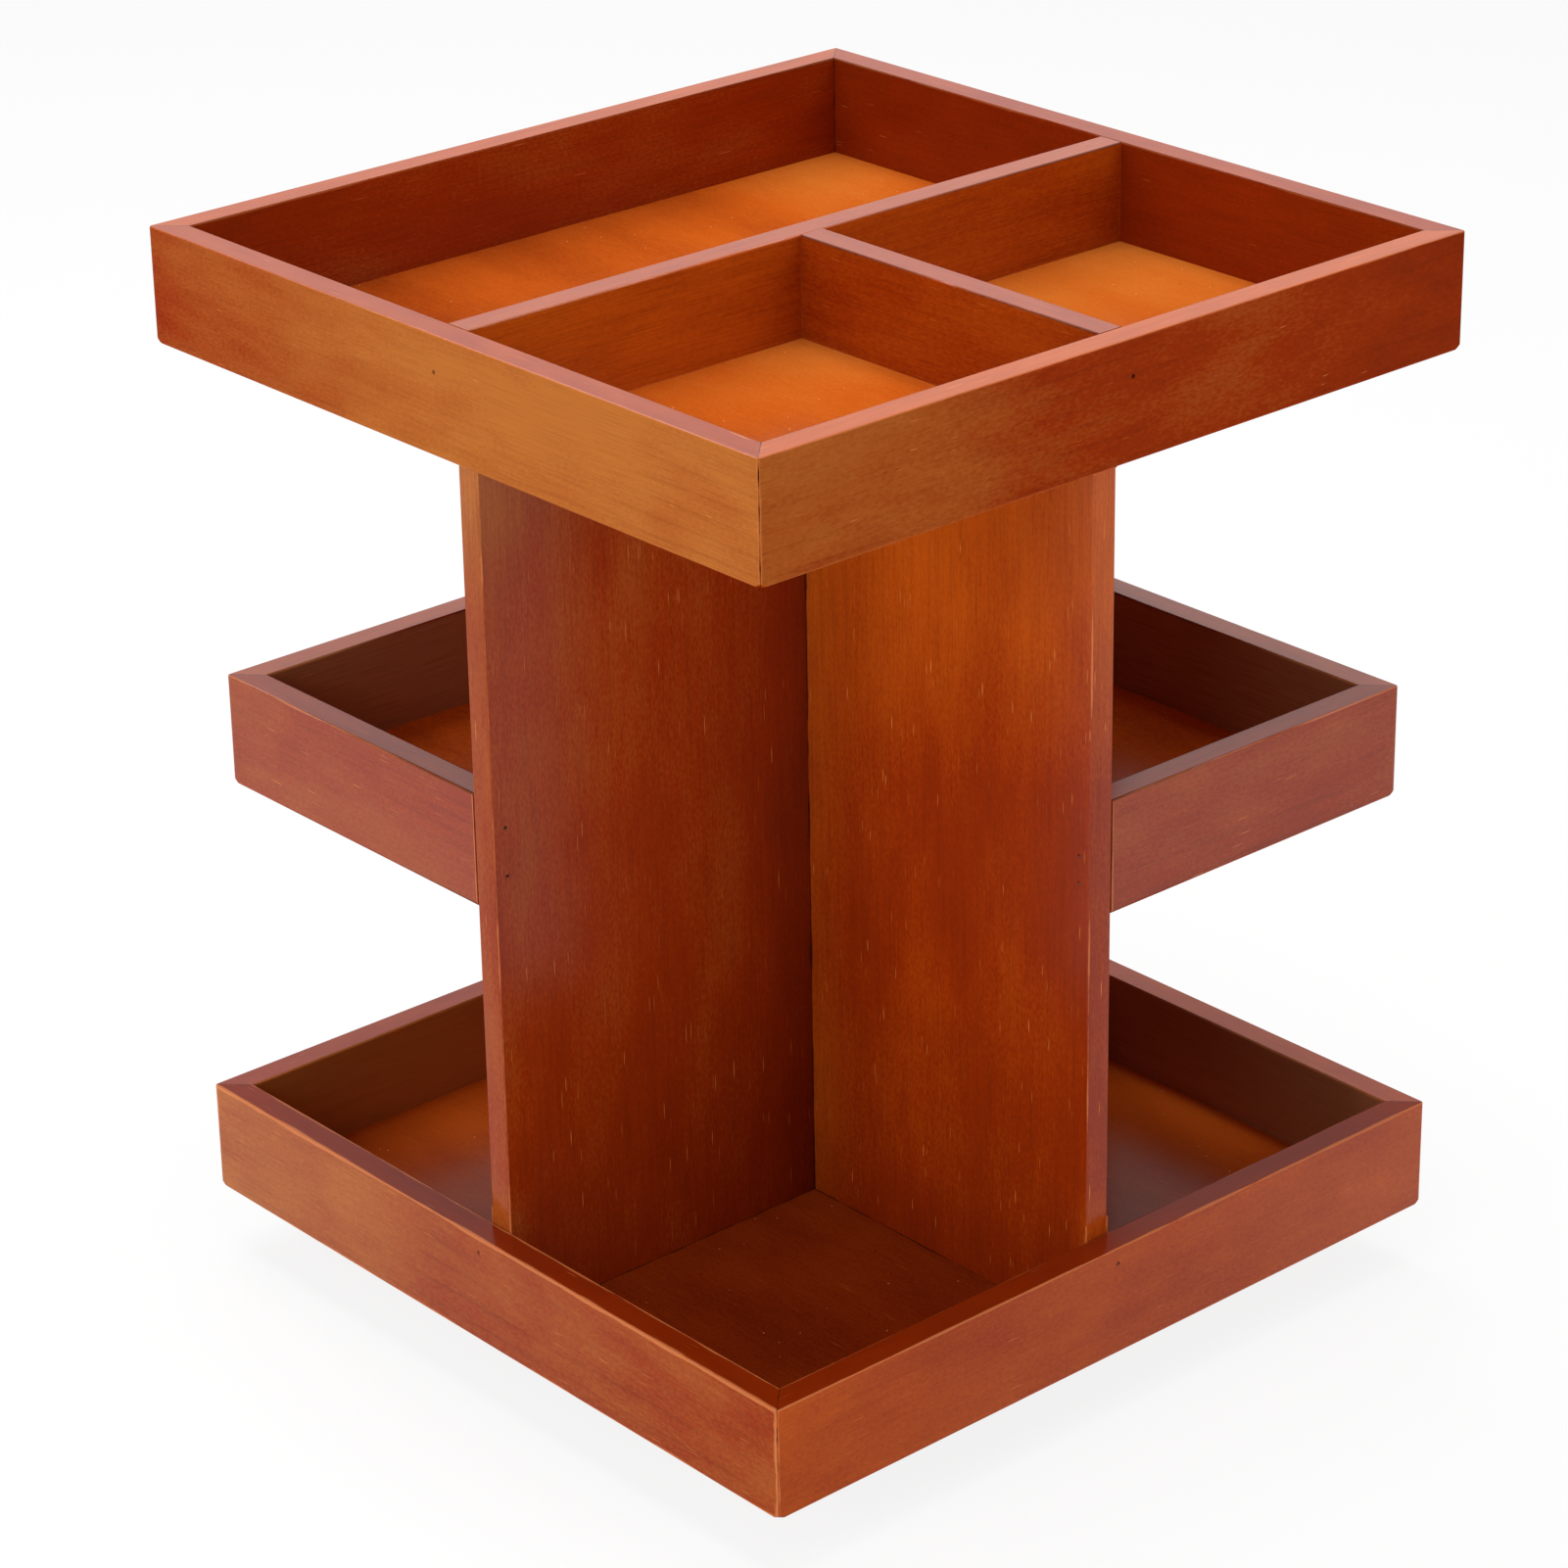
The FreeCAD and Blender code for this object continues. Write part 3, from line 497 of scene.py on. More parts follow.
def stained_wood(wood, board):
    """Rubberwood, planed and sanded, sprayed with a transparent red-brown stain
    and a clear gloss lacquer. The stain is golden where it is thin and red where
    it is thick, and the growth rings and the open pores show through. The rubbed
    edges are paler. Lacquer sprayed from above lies thicker on level faces."""
    material, add = new_material(f"stained_rubberwood_{board.node}")
    vector = grain_coordinates(add, board)
    upward = facing_up(add)

    clouds = patches(add, vector, *CLOUD)
    blotches = patches(add, vector, *BLOTCH, detail=4)
    speckle = patches(add, vector, *SPECKLE)
    level = add("MapRange", span(upward, *TURNING))
    tone = stain_and_painted_light(add, board, (
        (clouds, board.uneven), (blotches, board.uneven * BLOTCH_SHARE), (speckle, SPECKLE_CHANGE)))
    thin = wood.orange_stain if board.orange else wood.golden_stain
    stain = stained(add, tone, thin, wood.red_stain, wood.deep_stain)
    rim_tone = add("MapRange", span(
        blotches, *NEARLY_ALL, board.rim - RIM_CHANGE, board.rim + RIM_CHANGE))
    rim_stain = stained(add, rim_tone, wood.orange_stain, wood.red_stain, wood.deep_stain)
    stain = add("Mix", tint(level, stain, rim_stain), MIX_RESULT, data_type="RGBA")
    # Dry overspray and a painted whitish sheen on the inner faces
    if board.inwards:
        inner = add("VectorMath", {0: add("TexCoord", {}, "Normal"), 1: board.inwards}, "Value",
                    operation="DOT_PRODUCT")
        dry = add("MapRange", span(inner, *TURNING))
        colour = Vector(wood.golden_stain).lerp(Vector(wood.overspray_and_sheen), board.dry)
        stain = add("Mix", tint(dry, stain, opaque(colour)), MIX_RESULT, data_type="RGBA")

    trunk = add("Mapping", {"Vector": vector, "Location": wood.pith, "Scale": (TAPER, 1, 1)})
    rings = add("TexWave", {
        "Vector": trunk, "Scale": WAVE_PERIOD / wood.ring_spacing, "Distortion": WAVER,
        "Detail": 2.0, "Detail Scale": 0.22, "Detail Roughness": 0.5,
    }, wave_type="RINGS", rings_direction="X", wave_profile="SAW")
    fibres = patches(add, vector, FIBRE_LENGTH, wood.fibre_width, detail=3)
    shown = add("MapRange", span(clouds, *FIGURED, 0.0, board.figure))
    figure = add("MapRange", span(rings, *LATEWOOD), interpolation_type="SMOOTHSTEP")
    figure = add("Math", {0: figure, 1: shown}, operation="MULTIPLY")
    streaks = add("MapRange", span(fibres, *STREAKED, 0.0, board.streaks),
                  interpolation_type="SMOOTHSTEP")
    grain = add("Math", {0: figure, 1: streaks}, operation="ADD", use_clamp=True)
    stain = add("Mix", tint(grain, stain, opaque(wood.latewood)), MIX_RESULT, data_type="RGBA")

    pores = open_pores(add, vector, wood)
    share = add("Math", {0: pores, 1: board.pores}, operation="MULTIPLY", use_clamp=True)
    stain = add("Mix", tint(share, stain, opaque(wood.open_pore)), MIX_RESULT, data_type="RGBA")
    band = wood.rubbed_width * board.band
    width = add("MapRange", span(blotches, *MOST, band * RUBBED[0], band * RUBBED[1]))
    across = add("Math", {0: edge_distance(add, board), 1: width}, operation="DIVIDE")
    rubbed = add("MapRange", span(across, 1.0, SOFT_BAND, 0.0, board.wear),
                 interpolation_type="SMOOTHSTEP")
    stain = add("Mix", tint(rubbed, stain, opaque(wood.rubbed_edge)), MIX_RESULT, data_type="RGBA")
    stain = seamed(add, board, wood, stain)
    if board.mitred:
        joint = mitre_mask(add, wood.glue_width)
        stain = add("Mix", tint(joint, stain, opaque(wood.glue_line)), MIX_RESULT, data_type="RGBA")

    relief = add("Math", {0: fibres, 1: FIBRE_RELIEF}, operation="MULTIPLY")
    relief = add("Math", {0: relief, 1: pores}, operation="SUBTRACT")
    lacquer = along_board(add, board, board.coat)
    shader = add("BsdfPrincipled", {
        "Base Color": stain,
        "Roughness": add("MapRange", span(fibres, *NEARLY_ALL, 0.4, 0.5)),
        "Specular IOR Level": 0.0,
        "Normal": add("Bump", {"Strength": 0.25, "Distance": 0.1 * MM, "Height": relief}),
        "Coat Weight": add("MapRange", span(upward, *TURNING, lacquer, board.gloss)),
        "Coat Roughness": wood.lacquer_roughness,
        "Coat IOR": LACQUER_IOR,
    })
    add("OutputMaterial", {"Surface": shader})
    return material


# The same for the floors' veneer, with the strength of its pores and pits and of the dust
VENEER_CLOUD = (0.07, 0.03)
VENEER_SPECKLE = (0.0008, 0.0008)
VENEER_FIBRE_LENGTH = 0.008
VENEER_CLOUD_SHARE = 2
VENEER_PORES = 0.4
PIT_STRENGTH = 0.6
SPECK_STRENGTH = 0.8


def stained_ply(wood, board):
    """Thin plywood, sanded, stained and lacquered. Its peeled veneer has a wide,
    cloudy figure, fine pores and a few pits, and dust has settled in the lacquer,
    which is slightly rough."""
    material, add = new_material(f"stained_plywood_{board.node}")
    vector = grain_coordinates(add, board)
    clouds = patches(add, vector, *VENEER_CLOUD, detail=3)
    fibres = patches(add, vector, VENEER_FIBRE_LENGTH, wood.fibre_width, detail=3)
    speckle = patches(add, vector, *VENEER_SPECKLE, detail=1)
    tone = stain_and_painted_light(add, board, (
        (clouds, board.uneven * VENEER_CLOUD_SHARE), (fibres, board.uneven), (speckle, board.uneven)))
    stain = stained(add, tone, wood.ply_stain, wood.ply_shade, wood.ply_deep)

    pores = open_pores(add, vector, wood)
    share = add("Math", {0: pores, 1: VENEER_PORES}, operation="MULTIPLY")
    stain = add("Mix", tint(share, stain, opaque(wood.open_pore)), MIX_RESULT, data_type="RGBA")
    pits = dots(add, vector, wood.pit_spacing, wood.pit_width)
    share = add("Math", {0: pits, 1: PIT_STRENGTH}, operation="MULTIPLY")
    stain = add("Mix", tint(share, stain, opaque(wood.glue_line)), MIX_RESULT, data_type="RGBA")
    specks = dots(add, vector, wood.speck_spacing, wood.speck_width)
    share = add("Math", {0: specks, 1: SPECK_STRENGTH}, operation="MULTIPLY")
    stain = add("Mix", tint(share, stain, opaque(wood.speck)), MIX_RESULT, data_type="RGBA")
    stain = seamed(add, board, wood, stain)

    relief = add("Math", {0: fibres, 1: pits}, operation="SUBTRACT")
    relief = add("Math", {0: relief, 1: speckle}, operation="ADD")
    shader = add("BsdfPrincipled", {
        "Base Color": stain,
        "Roughness": add("MapRange", span(speckle, *NEARLY_ALL, 0.4, 0.55)),
        "Specular IOR Level": 0.0,
        "Normal": add("Bump", {"Strength": 0.3, "Distance": 0.1 * MM, "Height": relief}),
        "Coat Weight": along_board(add, board, board.coat),
        "Coat Roughness": wood.lacquer_roughness * board.rough,
        "Coat IOR": LACQUER_IOR,
        "Coat Normal": add("Bump", {
            "Strength": 0.08 * board.rough, "Distance": 0.1 * MM, "Height": speckle}),
    })
    add("OutputMaterial", {"Surface": shader})
    return material


# The size and shade of the rubbed spots, and the smoothest and roughest crystals beside the usual
HANDLED_PATCH = 0.012
HANDLED_SHADE = 0.72
CRYSTAL_GLOSS = (0.75, 1.3)


def plated_steel(name, colour, roughness, grain_size):
    """Steel, bright or plated with zinc, whose crystals and rubbed spots make the
    gloss uneven. Real crystals are some hundredths of a millimetre wide, and are
    drawn coarser to show."""
    material, add = new_material(name)
    spot = add("TexCoord", {}, "Object")
    crystals = patches(add, spot, grain_size, grain_size, detail=3)
    rubbed = patches(add, spot, HANDLED_PATCH, HANDLED_PATCH)
    darker = tuple(channel * HANDLED_SHADE for channel in colour)
    share = add("MapRange", span(rubbed, *NEARLY_ALL))
    smooth, rough = (roughness * change for change in CRYSTAL_GLOSS)
    plating = add("Mix", tint(share, opaque(colour), opaque(darker)), MIX_RESULT, data_type="RGBA")
    shader = add("BsdfPrincipled", {
        "Base Color": plating,
        "Metallic": 1.0,
        "Roughness": add("MapRange", span(crystals, *NEARLY_ALL, smooth, rough)),
        "Normal": add("Bump", {"Strength": 0.1, "Distance": 0.05 * MM, "Height": crystals}),
    })
    add("OutputMaterial", {"Surface": shader})
    return material


# Where dust lies and how it changes the colour, and how the mould's texture changes the gloss
DUST_PATCH = 0.01
DUSTY = (0.4, 0.7)
DUST_VEIL = 0.85
DUST_LIGHT = 0.02
MOULD_CHANGE = 0.08


def moulded(name, colour, roughness, grit):
    """Moulded nylon or rubber, with the faint texture of its mould and a veil of dust."""
    material, add = new_material(name)
    spot = add("TexCoord", {}, "Object")
    texture = patches(add, spot, grit, grit)
    dust = add("MapRange", span(patches(add, spot, DUST_PATCH, DUST_PATCH, detail=3), *DUSTY))
    paler = tuple(channel * DUST_VEIL + DUST_LIGHT for channel in colour)
    dusty = add("Mix", tint(dust, opaque(colour), opaque(paler)), MIX_RESULT, data_type="RGBA")
    shader = add("BsdfPrincipled", {
        "Base Color": dusty,
        "Roughness": add("MapRange", span(
            texture, *NEARLY_ALL, roughness - MOULD_CHANGE, roughness + MOULD_CHANGE)),
        "Normal": add("Bump", {"Strength": 0.2, "Distance": 0.1 * MM, "Height": texture}),
    })
    add("OutputMaterial", {"Surface": shader})
    return material


# Boards


class Board(NamedTuple):
    """How one board was sawn and finished."""

    node: str                 # its node in the frame
    grain: str                # the axis along which its grain runs
    tones: tuple              # how red the stain is, from its low to its high end, on some boards with painted shade and light in it
    log: tuple                # where in the log it was, in metres
    coat: tuple = (0.6, 0.6)  # how much lacquer lies on its upright faces or on a floor, end to end
    mitred: bool = False      # whether the glue line of its mitred ends shows
    figure: float = 0.08      # how dark the growth rings are
    streaks: float = 0.26     # how dark the fine streaks between them are
    pores: float = 0.6        # how bright its open pores are
    wear: float = 0.3         # how far its edges are rubbed
    band: float = 1.0         # how wide they are rubbed, beside the usual
    rim: float = 0.6          # how red the stain is on its level faces
    gloss: float = 1.0        # how much lacquer lies there
    orange: bool = False      # whether its thin stain is orange
    uneven: float = 0.16      # how much the stain's thickness changes from place to place
    ends: float = 0.0         # how much less stain lies on a panel's narrow upright edges
    pooling_and_shade: float = 0.0       # how much darker, or paler, it is in the column's inner corners: stain that ran together and painted shade where darker, painted light where paler
    inwards: tuple = ()       # the way its inner face looks, which has dry overspray and a painted whitish sheen
    dry: float = 1.0          # how far that has the colour of dry overspray and painted sheen, not the golden stain's
    rough: float = 1.0        # how rough a floor's lacquer is, beside the usual
    seam: str = ""            # MAXIMUM where it crosses a panel, MINIMUM where it lies under them
    pale: tuple = ()          # places that are paler, and how far round each that reaches: painted light on the floors, thinner stain at the panels' ends
    fade: tuple = ()          # the way its tones and coat change, where it isn't the grain's


# Points and faces of a board's mesh that are one, edges that are sanded, and edges too short
# for that, which belong to the round holes
SAME_POINT = 0.001 * MM
SAME_FACE = math.radians(0.5)
SHARP = math.radians(62)
HOLE_FACET = 1.0 * MM
SANDING_STEPS = 2


def finished_board(board, wood, material):
    """A merged copy of a board whose sharp edges are sanded off, in its place."""
    source = frame["nodes"][board.node]
    shape = bmesh.new()
    shape.from_mesh(source.data)
    bmesh.ops.remove_doubles(shape, verts=shape.verts, dist=SAME_POINT)
    bmesh.ops.dissolve_limit(
        shape, angle_limit=SAME_FACE, verts=shape.verts, edges=shape.edges,
        use_dissolve_boundaries=False)
    sharp = [edge for edge in shape.edges
             if edge.is_manifold and edge.calc_face_angle() > SHARP and edge.calc_length() > HOLE_FACET]
    bmesh.ops.bevel(
        shape, geom=sharp, offset=wood.broken_edge, segments=SANDING_STEPS, profile=0.5,
        affect="EDGES", clamp_overlap=True, material=-1)
    for face in shape.faces:
        face.smooth = True
    mesh = bpy.data.meshes.new(f"{board.node}_board")
    shape.to_mesh(mesh)
    shape.free()
    mesh.materials.append(material)
    piece = bpy.data.objects.new(f"{board.node}_board", mesh)
    bpy.context.scene.collection.objects.link(piece)
    piece.modifiers.new("Flat faces", "WEIGHTED_NORMAL").weight = 100
    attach(piece, source["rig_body"])
    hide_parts(board.node)


def finish_solid_boards(wood, boards):
    for board in boards:
        finished_board(board, wood, stained_wood(wood, board))


def finish_plywood(wood, boards):
    for board in boards:
        finished_board(board, wood, stained_ply(wood, board))


def dress(nodes, material):
    """Give CAD pieces that keep their shape a better material."""
    for node in nodes:
        data = frame["nodes"][node].data
        data.materials.clear()
        data.materials.append(material)


class OrganizerOperator:
    """What every step shares."""

    bl_options = {"REGISTER", "UNDO"}


class FinishTopTray(OrganizerOperator, bpy.types.Operator):
    """Stain and lacquer the top tray's walls, dividers and floor"""

    bl_idname = "organizer.finish_top_tray"
    bl_label = "Top tray"

    def execute(self, context):
        wood = context.scene.organizer_wood
        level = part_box("top_floor")[1][2]
        divider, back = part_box("top_long_divider")[1][:2]
        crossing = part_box("top_short_divider")[0][1]
        # Painted light: the floor is painted paler round the compartments' back corners, where the
        # walls' shade doesn't fall
        painted_light_corners = (
            ((divider, crossing, level), 0.1),
            ((divider, back, level), 0.12),
            ((-back, back, level), 0.07),
        )
        finish_solid_boards(wood, [
            Board("top_front_wall", "X", (0.98, 0.14, 0.02), (0.0, 0.31, 0.02), coat=(0.1, 0.1),
                  mitred=True, figure=0.15, wear=0.2, rim=0.7, gloss=0.85, uneven=0.26, streaks=0.18,
                  pores=1.3),
            Board("top_right_wall", "Y", (0.36, 0.97, 1.2), (0.0, -0.23, 0.4), coat=(0.05, 0.05),
                  mitred=True, wear=0.25, rim=0.25, gloss=0.9, uneven=0.2, figure=0.2, streaks=0.18,
                  pores=1.4),
            Board("top_back_wall", "X", (1.4, 1.0), (0.0, 0.57, 0.13), coat=(0.3, 0.3), mitred=True,
                  rim=0.8, gloss=0.85),
            Board("top_left_wall", "Y", (1.0, 1.0), (0.0, 0.71, -0.3), coat=(0.3, 0.3), mitred=True,
                  rim=0.45, gloss=0.85),
            Board("top_long_divider", "Y", (0.1, 0.6), (0.0, 0.12, 0.21), rim=0.6, wear=0.1,
                  orange=True),
            Board("top_short_divider", "X", (0.7, 0.8), (0.0, -0.44, 0.35), rim=0.75, wear=0.1,
                  orange=True),
        ])
        finish_plywood(wood, [
            Board("top_floor", "X", (1.6, 1.2, 1.05), (0.0, 0.2, 0.0), coat=(0.45, 0.45),
                  fade=(0.3, 1, 0), uneven=0.1, pale=painted_light_corners),
        ])
        return {"FINISHED"}


class FinishColumn(OrganizerOperator, bpy.types.Operator):
    """Stain and lacquer the column's two crossed panels"""

    bl_idname = "organizer.finish_column"
    bl_label = "Column"

    def execute(self, context):
        wood = context.scene.organizer_wood
        low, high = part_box("front_back_panel")
        beyond = high[1] + 0.01
        foot = low[2] + 0.03
        front_end = (
            ((0, -beyond, high[2]), 0.055),
            ((0, -beyond, foot), 0.022),
        )
        right_end = (
            ((beyond, 0, foot), 0.022),
        )
        finish_solid_boards(wood, [
            # The front-back panel is darker in its inner corner: stain that ran together, and painted
            # shade
            Board("front_back_panel", "Z", (1.1, 0.8), (0.0, 0.4, 0.1), coat=(0.42, 0.42),
                  figure=0.1, wear=0.6, uneven=0.14, ends=0.12, pooling_and_shade=0.4, seam="MAXIMUM",
                  pores=0.85, pale=front_end),
            # The left-right panel is painted paler towards its top, painted light under the top tray,
            # and paler in its inner corner, painted light too
            Board("left_right_panel", "Z", (1.15, 1.05, 0.95, 1.05, 1.0, 0.6, 0.3, 0.25, 0.25),
                  (0.0, -0.2, 0.6), coat=(0.5, 0.5), figure=0.1, wear=0.6, orange=True,
                  uneven=0.14, ends=0.08, pooling_and_shade=-0.4, seam="MAXIMUM", pores=1.5, pale=right_end,
                  fade=(-0.3, 0, 1)),
        ])
        return {"FINISHED"}


class FinishMiddleTrays(OrganizerOperator, bpy.types.Operator):
    """Stain and lacquer the two middle trays"""

    bl_idname = "organizer.finish_middle_trays"
    bl_label = "Middle trays"

    def execute(self, context):
        wood = context.scene.organizer_wood
        finish_solid_boards(wood, [
            Board("left_tray_front_wall", "X", (0.9, 0.9), (0.0, 0.15, 0.33), coat=(0.7, 0.7),
                  mitred=True, figure=0.3, wear=0.45, rim=0.9, gloss=0.85),
            Board("left_tray_side_wall", "Y", (0.85, 0.85), (0.0, -0.35, 0.14), mitred=True,
                  inwards=(1, 0, 0)),
            Board("right_tray_back_wall", "X", (0.85, 0.85), (0.0, 0.64, 0.52), mitred=True,
                  inwards=(0, -1, 0)),
            Board("right_tray_side_wall", "Y", (0.95, 0.95), (0.0, -0.51, 0.26), coat=(0.7, 0.7),
                  mitred=True, wear=0.45, rim=0.9, gloss=0.85, figure=0.3),
        ])
        finish_plywood(wood, [
            Board("left_tray_floor", "X", (1.3, 1.0), (0.0, 0.33, 0.1), coat=(0.45, 0.45), rough=1.3),
            Board("right_tray_floor", "X", (1.3, 1.0), (0.0, 0.83, 0.1), coat=(0.45, 0.45), rough=1.3),
        ])
        return {"FINISHED"}


class FinishBottomTray(OrganizerOperator, bpy.types.Operator):
    """Stain and lacquer the bottom tray's walls and floor"""

    bl_idname = "organizer.finish_bottom_tray"
    bl_label = "Bottom tray"

    def execute(self, context):
        wood = context.scene.organizer_wood
        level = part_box("bottom_floor")[1][2]
        # Painted light: the side bays' floors are painted paler round these places, where light reaches
        # in from their open sides
        painted_light_left_bay = ((-0.13, -0.045, level), 0.062)
        painted_light_right_bay = ((0.045, 0.125, level), 0.075)
        finish_solid_boards(wood, [
            Board("bottom_front_wall", "X", (0.45, 0.75, 0.75), (0.0, -0.31, 0.42), coat=(0.6, 0.2),
                  mitred=True, wear=0.6, rim=1.35, gloss=0.45, streaks=0.2, figure=0.25, uneven=0.24,
                  band=2.2),
            Board("bottom_right_wall", "Y", (0.55, 0.8, 0.6), (0.0, 0.23, 0.24), coat=(0.25, 0.65),
                  mitred=True, wear=0.45, rim=1.35, gloss=0.4, streaks=0.14, orange=True, band=1.3),
            Board("bottom_back_wall", "X", (0.75, 0.75), (0.0, -0.57, 0.73), mitred=True, rim=0.75,
                  gloss=0.8, streaks=0.12, inwards=(0, -1, 0)),
            Board("bottom_left_wall", "Y", (0.75, 0.75), (0.0, -0.71, 0.63), mitred=True, rim=0.95,
                  gloss=0.8, streaks=0.12, inwards=(1, 0, 0), dry=0.15),
        ])
        finish_plywood(wood, [
            # Painted shade: the floor's tones darken towards the near bay under the top tray, and its
            # pale places are painted light
            Board("bottom_floor", "X", (1.5, 1.65, 2.0), (0.0, 0.48, 0.2), coat=(0.45, 0.45),
                  fade=(1, -1, 0), uneven=0.07, rough=1.35, pale=(painted_light_left_bay, painted_light_right_bay),
                  seam="MINIMUM"),
        ])
        return {"FINISHED"}


class FinishFittings(OrganizerOperator, bpy.types.Operator):
    """Plate the bearing, the balls, the screws and the nails"""

    bl_idname = "organizer.finish_fittings"
    bl_label = "Bearing, screws and nails"

    def execute(self, context):
        metal = context.scene.organizer_metal
        dress(["lower_bearing_plate", "upper_bearing_plate"],
              plated_steel("zinc_plated_steel", metal.zinc, 0.32, 0.0004))
        dress(["base_board_screws", "bottom_tray_screws"],
              plated_steel("yellow_zinc_plated_steel", metal.yellow_zinc, 0.3, 0.0004))
        dress(["bearing_balls"], plated_steel("polished_ball_steel", metal.ball_steel, 0.08, 0.0002))
        dress([node for node in frame["nodes"] if node.endswith("_pins")],
              plated_steel("stained_nail_steel", metal.nail_steel, 0.5, 0.0003))
        dress(["ball_cage"], moulded("moulded_nylon", metal.nylon, 0.42, 0.0005))
        return {"FINISHED"}


class FinishBase(OrganizerOperator, bpy.types.Operator):
    """Stain the base board and give it its rubber feet"""

    bl_idname = "organizer.finish_base"
    bl_label = "Base board and feet"

    def execute(self, context):
        wood = context.scene.organizer_wood
        board = Board("base_board", "X", (0.6, 0.7), (0.0, 0.9, 0.9))
        finished_board(board, wood, stained_wood(wood, board))
        dress(["rubber_feet"], moulded(
            "moulded_rubber", context.scene.organizer_metal.rubber, 0.6, 0.0004))
        return {"FINISHED"}


def direction(azimuth, elevation):
    """The way to a point so far round from the front, towards the right, and so high."""
    return Vector((
        math.sin(azimuth) * math.cos(elevation),
        -math.cos(azimuth) * math.cos(elevation),
        math.sin(elevation)))


def soft_lamp(studio, name, azimuth, elevation):
    """Hang a square lamp on its side of the object, aimed at the object's middle."""
    towards = direction(math.radians(azimuth), math.radians(elevation))
    label = studio.bl_rna.properties[name].name
    lamp = bpy.data.lights.new(label, "AREA")
    lamp.shape = "SQUARE"
    lamp.size = studio.lamp_size
    lamp.energy = getattr(studio, name)
    thing = bpy.data.objects.new(label, lamp)
    middle = Vector((0, 0, (CAD_BOX[0][2] + CAD_BOX[1][2]) / 2))
    thing.location = middle + towards * studio.lamp_distance
    thing.rotation_mode = "QUATERNION"
    thing.rotation_quaternion = (-towards).to_track_quat("-Z", "Y")
    bpy.context.scene.collection.objects.link(thing)


def seen_as_white(add):
    """1 for the rays that look at the set itself or mirror it."""
    seen = add("LightPath", {}, "Is Camera Ray")
    for kind in ("Is Glossy Ray", "Is Transmission Ray"):
        seen = add("Math", {0: seen, 1: add("LightPath", {}, kind)}, operation="MAXIMUM")
    return seen


def place_camera(studio):
    """Stand the camera at its angles and distance from its target, and lean it."""
    towards = direction(studio.camera_azimuth, studio.camera_elevation)
    roll = studio.camera_roll
    right = (-towards).cross(Vector((0, 0, 1))).normalized()
    up = right.cross(-towards)
    leaning_right = math.cos(roll) * right + math.sin(roll) * up
    leaning_up = math.cos(roll) * up - math.sin(roll) * right
    data = bpy.data.cameras.new("Camera")
    data.lens = studio.camera_lens
    data.sensor_width = 36
    camera = bpy.data.objects.new("Camera", data)
    turn = Matrix((leaning_right, leaning_up, towards)).transposed().to_4x4()
    spot = Vector(studio.camera_target) + towards * studio.camera_distance
    camera.matrix_world = Matrix.Translation(spot) @ turn
    bpy.context.scene.collection.objects.link(camera)
    bpy.context.scene.camera = camera


# The lamps, how far round each hangs from the front and how high, in degrees
LAMPS = (
    ("overhead_lamp", 0, 88),
    ("front_lamp", -5, 12),
    ("front_right_lamp", 20, 35),
    ("right_lamp", 103, 12),
    ("left_lamp", -95, 58),
    ("back_lamp", 133, 58),
)


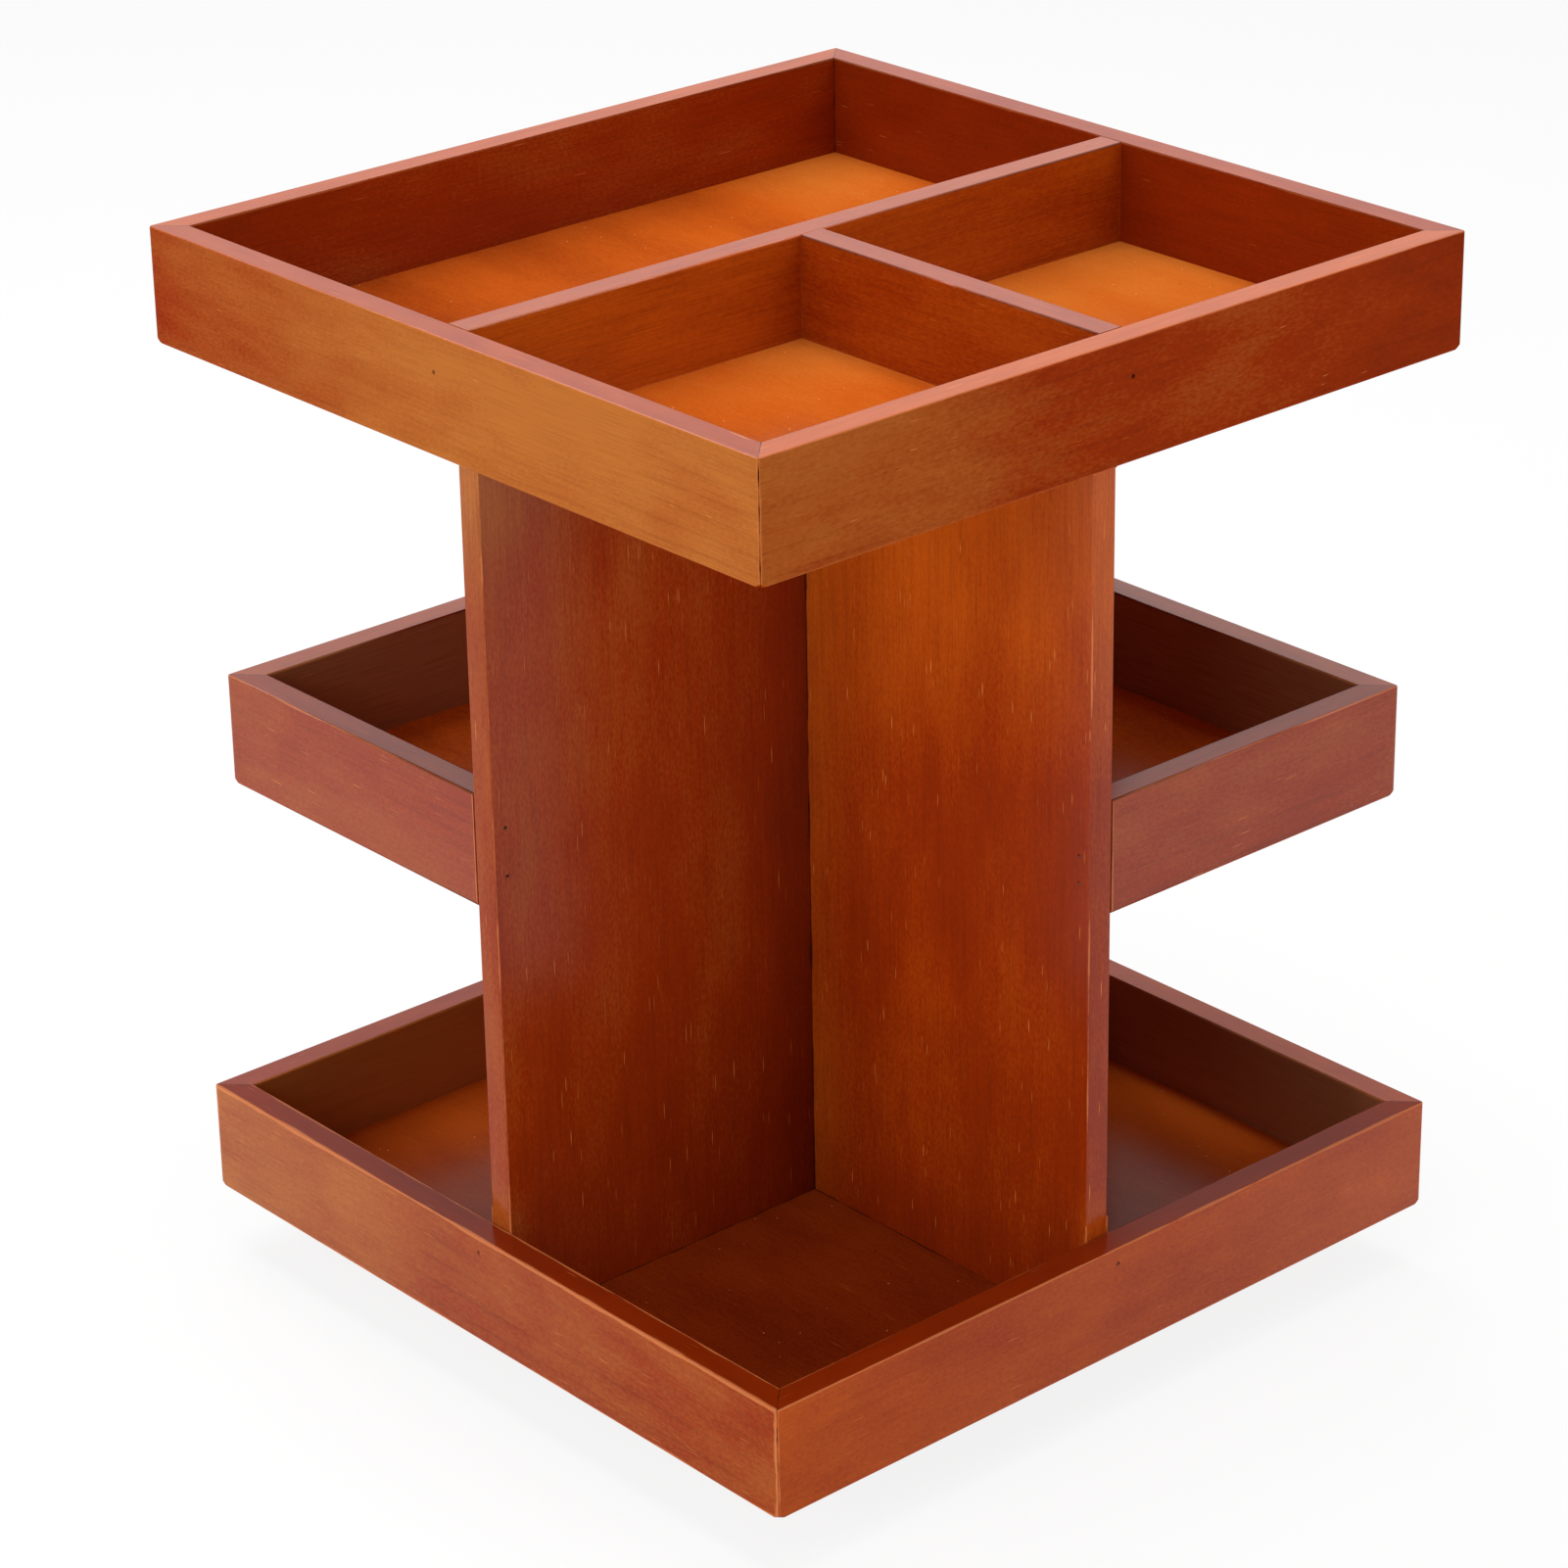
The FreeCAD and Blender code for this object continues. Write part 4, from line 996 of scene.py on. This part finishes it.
class SetUpStudio(OrganizerOperator, bpy.types.Operator):
    """Lay the pale floor, hang the soft lamps and stand the camera"""

    bl_idname = "organizer.set_up_studio"
    bl_label = "Studio"

    def execute(self, context):
        studio = context.scene.organizer_studio
        shape = bmesh.new()
        bmesh.ops.create_grid(shape, x_segments=1, y_segments=1, size=studio.floor_size / 2)
        mesh = bpy.data.meshes.new("studio_floor")
        shape.to_mesh(mesh)
        shape.free()
        floor = bpy.data.objects.new("studio_floor", mesh)
        context.scene.collection.objects.link(floor)

        material, add = new_material("pale_paper")
        paper = add("BsdfPrincipled", {
            "Base Color": opaque(studio.floor_colour), "Roughness": 0.9, "Specular IOR Level": 0.1})
        white = add("Emission", {"Color": (1, 1, 1, 1), "Strength": 1.0})
        lift = add("Math", {0: seen_as_white(add), 1: studio.floor_lift}, operation="MULTIPLY")
        add("OutputMaterial", {"Surface": add("MixShader", {0: lift, 1: paper, 2: white})})
        mesh.materials.append(material)

        world = bpy.data.worlds.new("Studio")
        world.use_nodes = True
        context.scene.world = world
        world.node_tree.nodes.clear()
        add = partial(add_node, world.node_tree)
        strength = add("MapRange", span(seen_as_white(add), 0.0, 1.0, studio.room_light, 1.0))
        room = add("Background", {"Color": (1, 1, 1, 1), "Strength": strength})
        add("OutputWorld", {"Surface": room})

        for name, azimuth, elevation in LAMPS:
            soft_lamp(studio, name, azimuth, elevation)
        place_camera(studio)
        context.scene.view_settings.view_transform = "Standard"
        return {"FINISHED"}


STEPS = (
    FinishTopTray,
    FinishColumn,
    FinishMiddleTrays,
    FinishBottomTray,
    FinishFittings,
    FinishBase,
    SetUpStudio,
)


class OrganizerPanel(bpy.types.Panel):
    """The steps, in the order in which they are worked"""

    bl_idname = "VIEW3D_PT_organizer"
    bl_label = "Revolving organizer"
    bl_space_type = "VIEW_3D"
    bl_region_type = "UI"
    bl_category = "Organizer"

    def draw(self, context):
        for step in STEPS:
            self.layout.operator(step.bl_idname)
        for group in (context.scene.organizer_wood, context.scene.organizer_metal,
                      context.scene.organizer_studio):
            box = self.layout.box()
            for name in group.bl_rna.properties.keys():
                if name not in {"rna_type", "name"}:
                    box.prop(group, name)


CLASSES = (OrganizerWood, OrganizerMetal, OrganizerStudio, *STEPS, OrganizerPanel)


def register():
    for each in CLASSES:
        bpy.utils.register_class(each)
    bpy.types.Scene.organizer_wood = PointerProperty(type=OrganizerWood)
    bpy.types.Scene.organizer_metal = PointerProperty(type=OrganizerMetal)
    bpy.types.Scene.organizer_studio = PointerProperty(type=OrganizerStudio)


def unregister():
    del bpy.types.Scene.organizer_wood
    del bpy.types.Scene.organizer_metal
    del bpy.types.Scene.organizer_studio
    for each in reversed(CLASSES):
        bpy.utils.unregister_class(each)


def main():
    register()
    for step in STEPS:
        group, name = step.bl_idname.split(".")
        getattr(getattr(bpy.ops, group), name)()


if __name__ == "__main__":
    main()
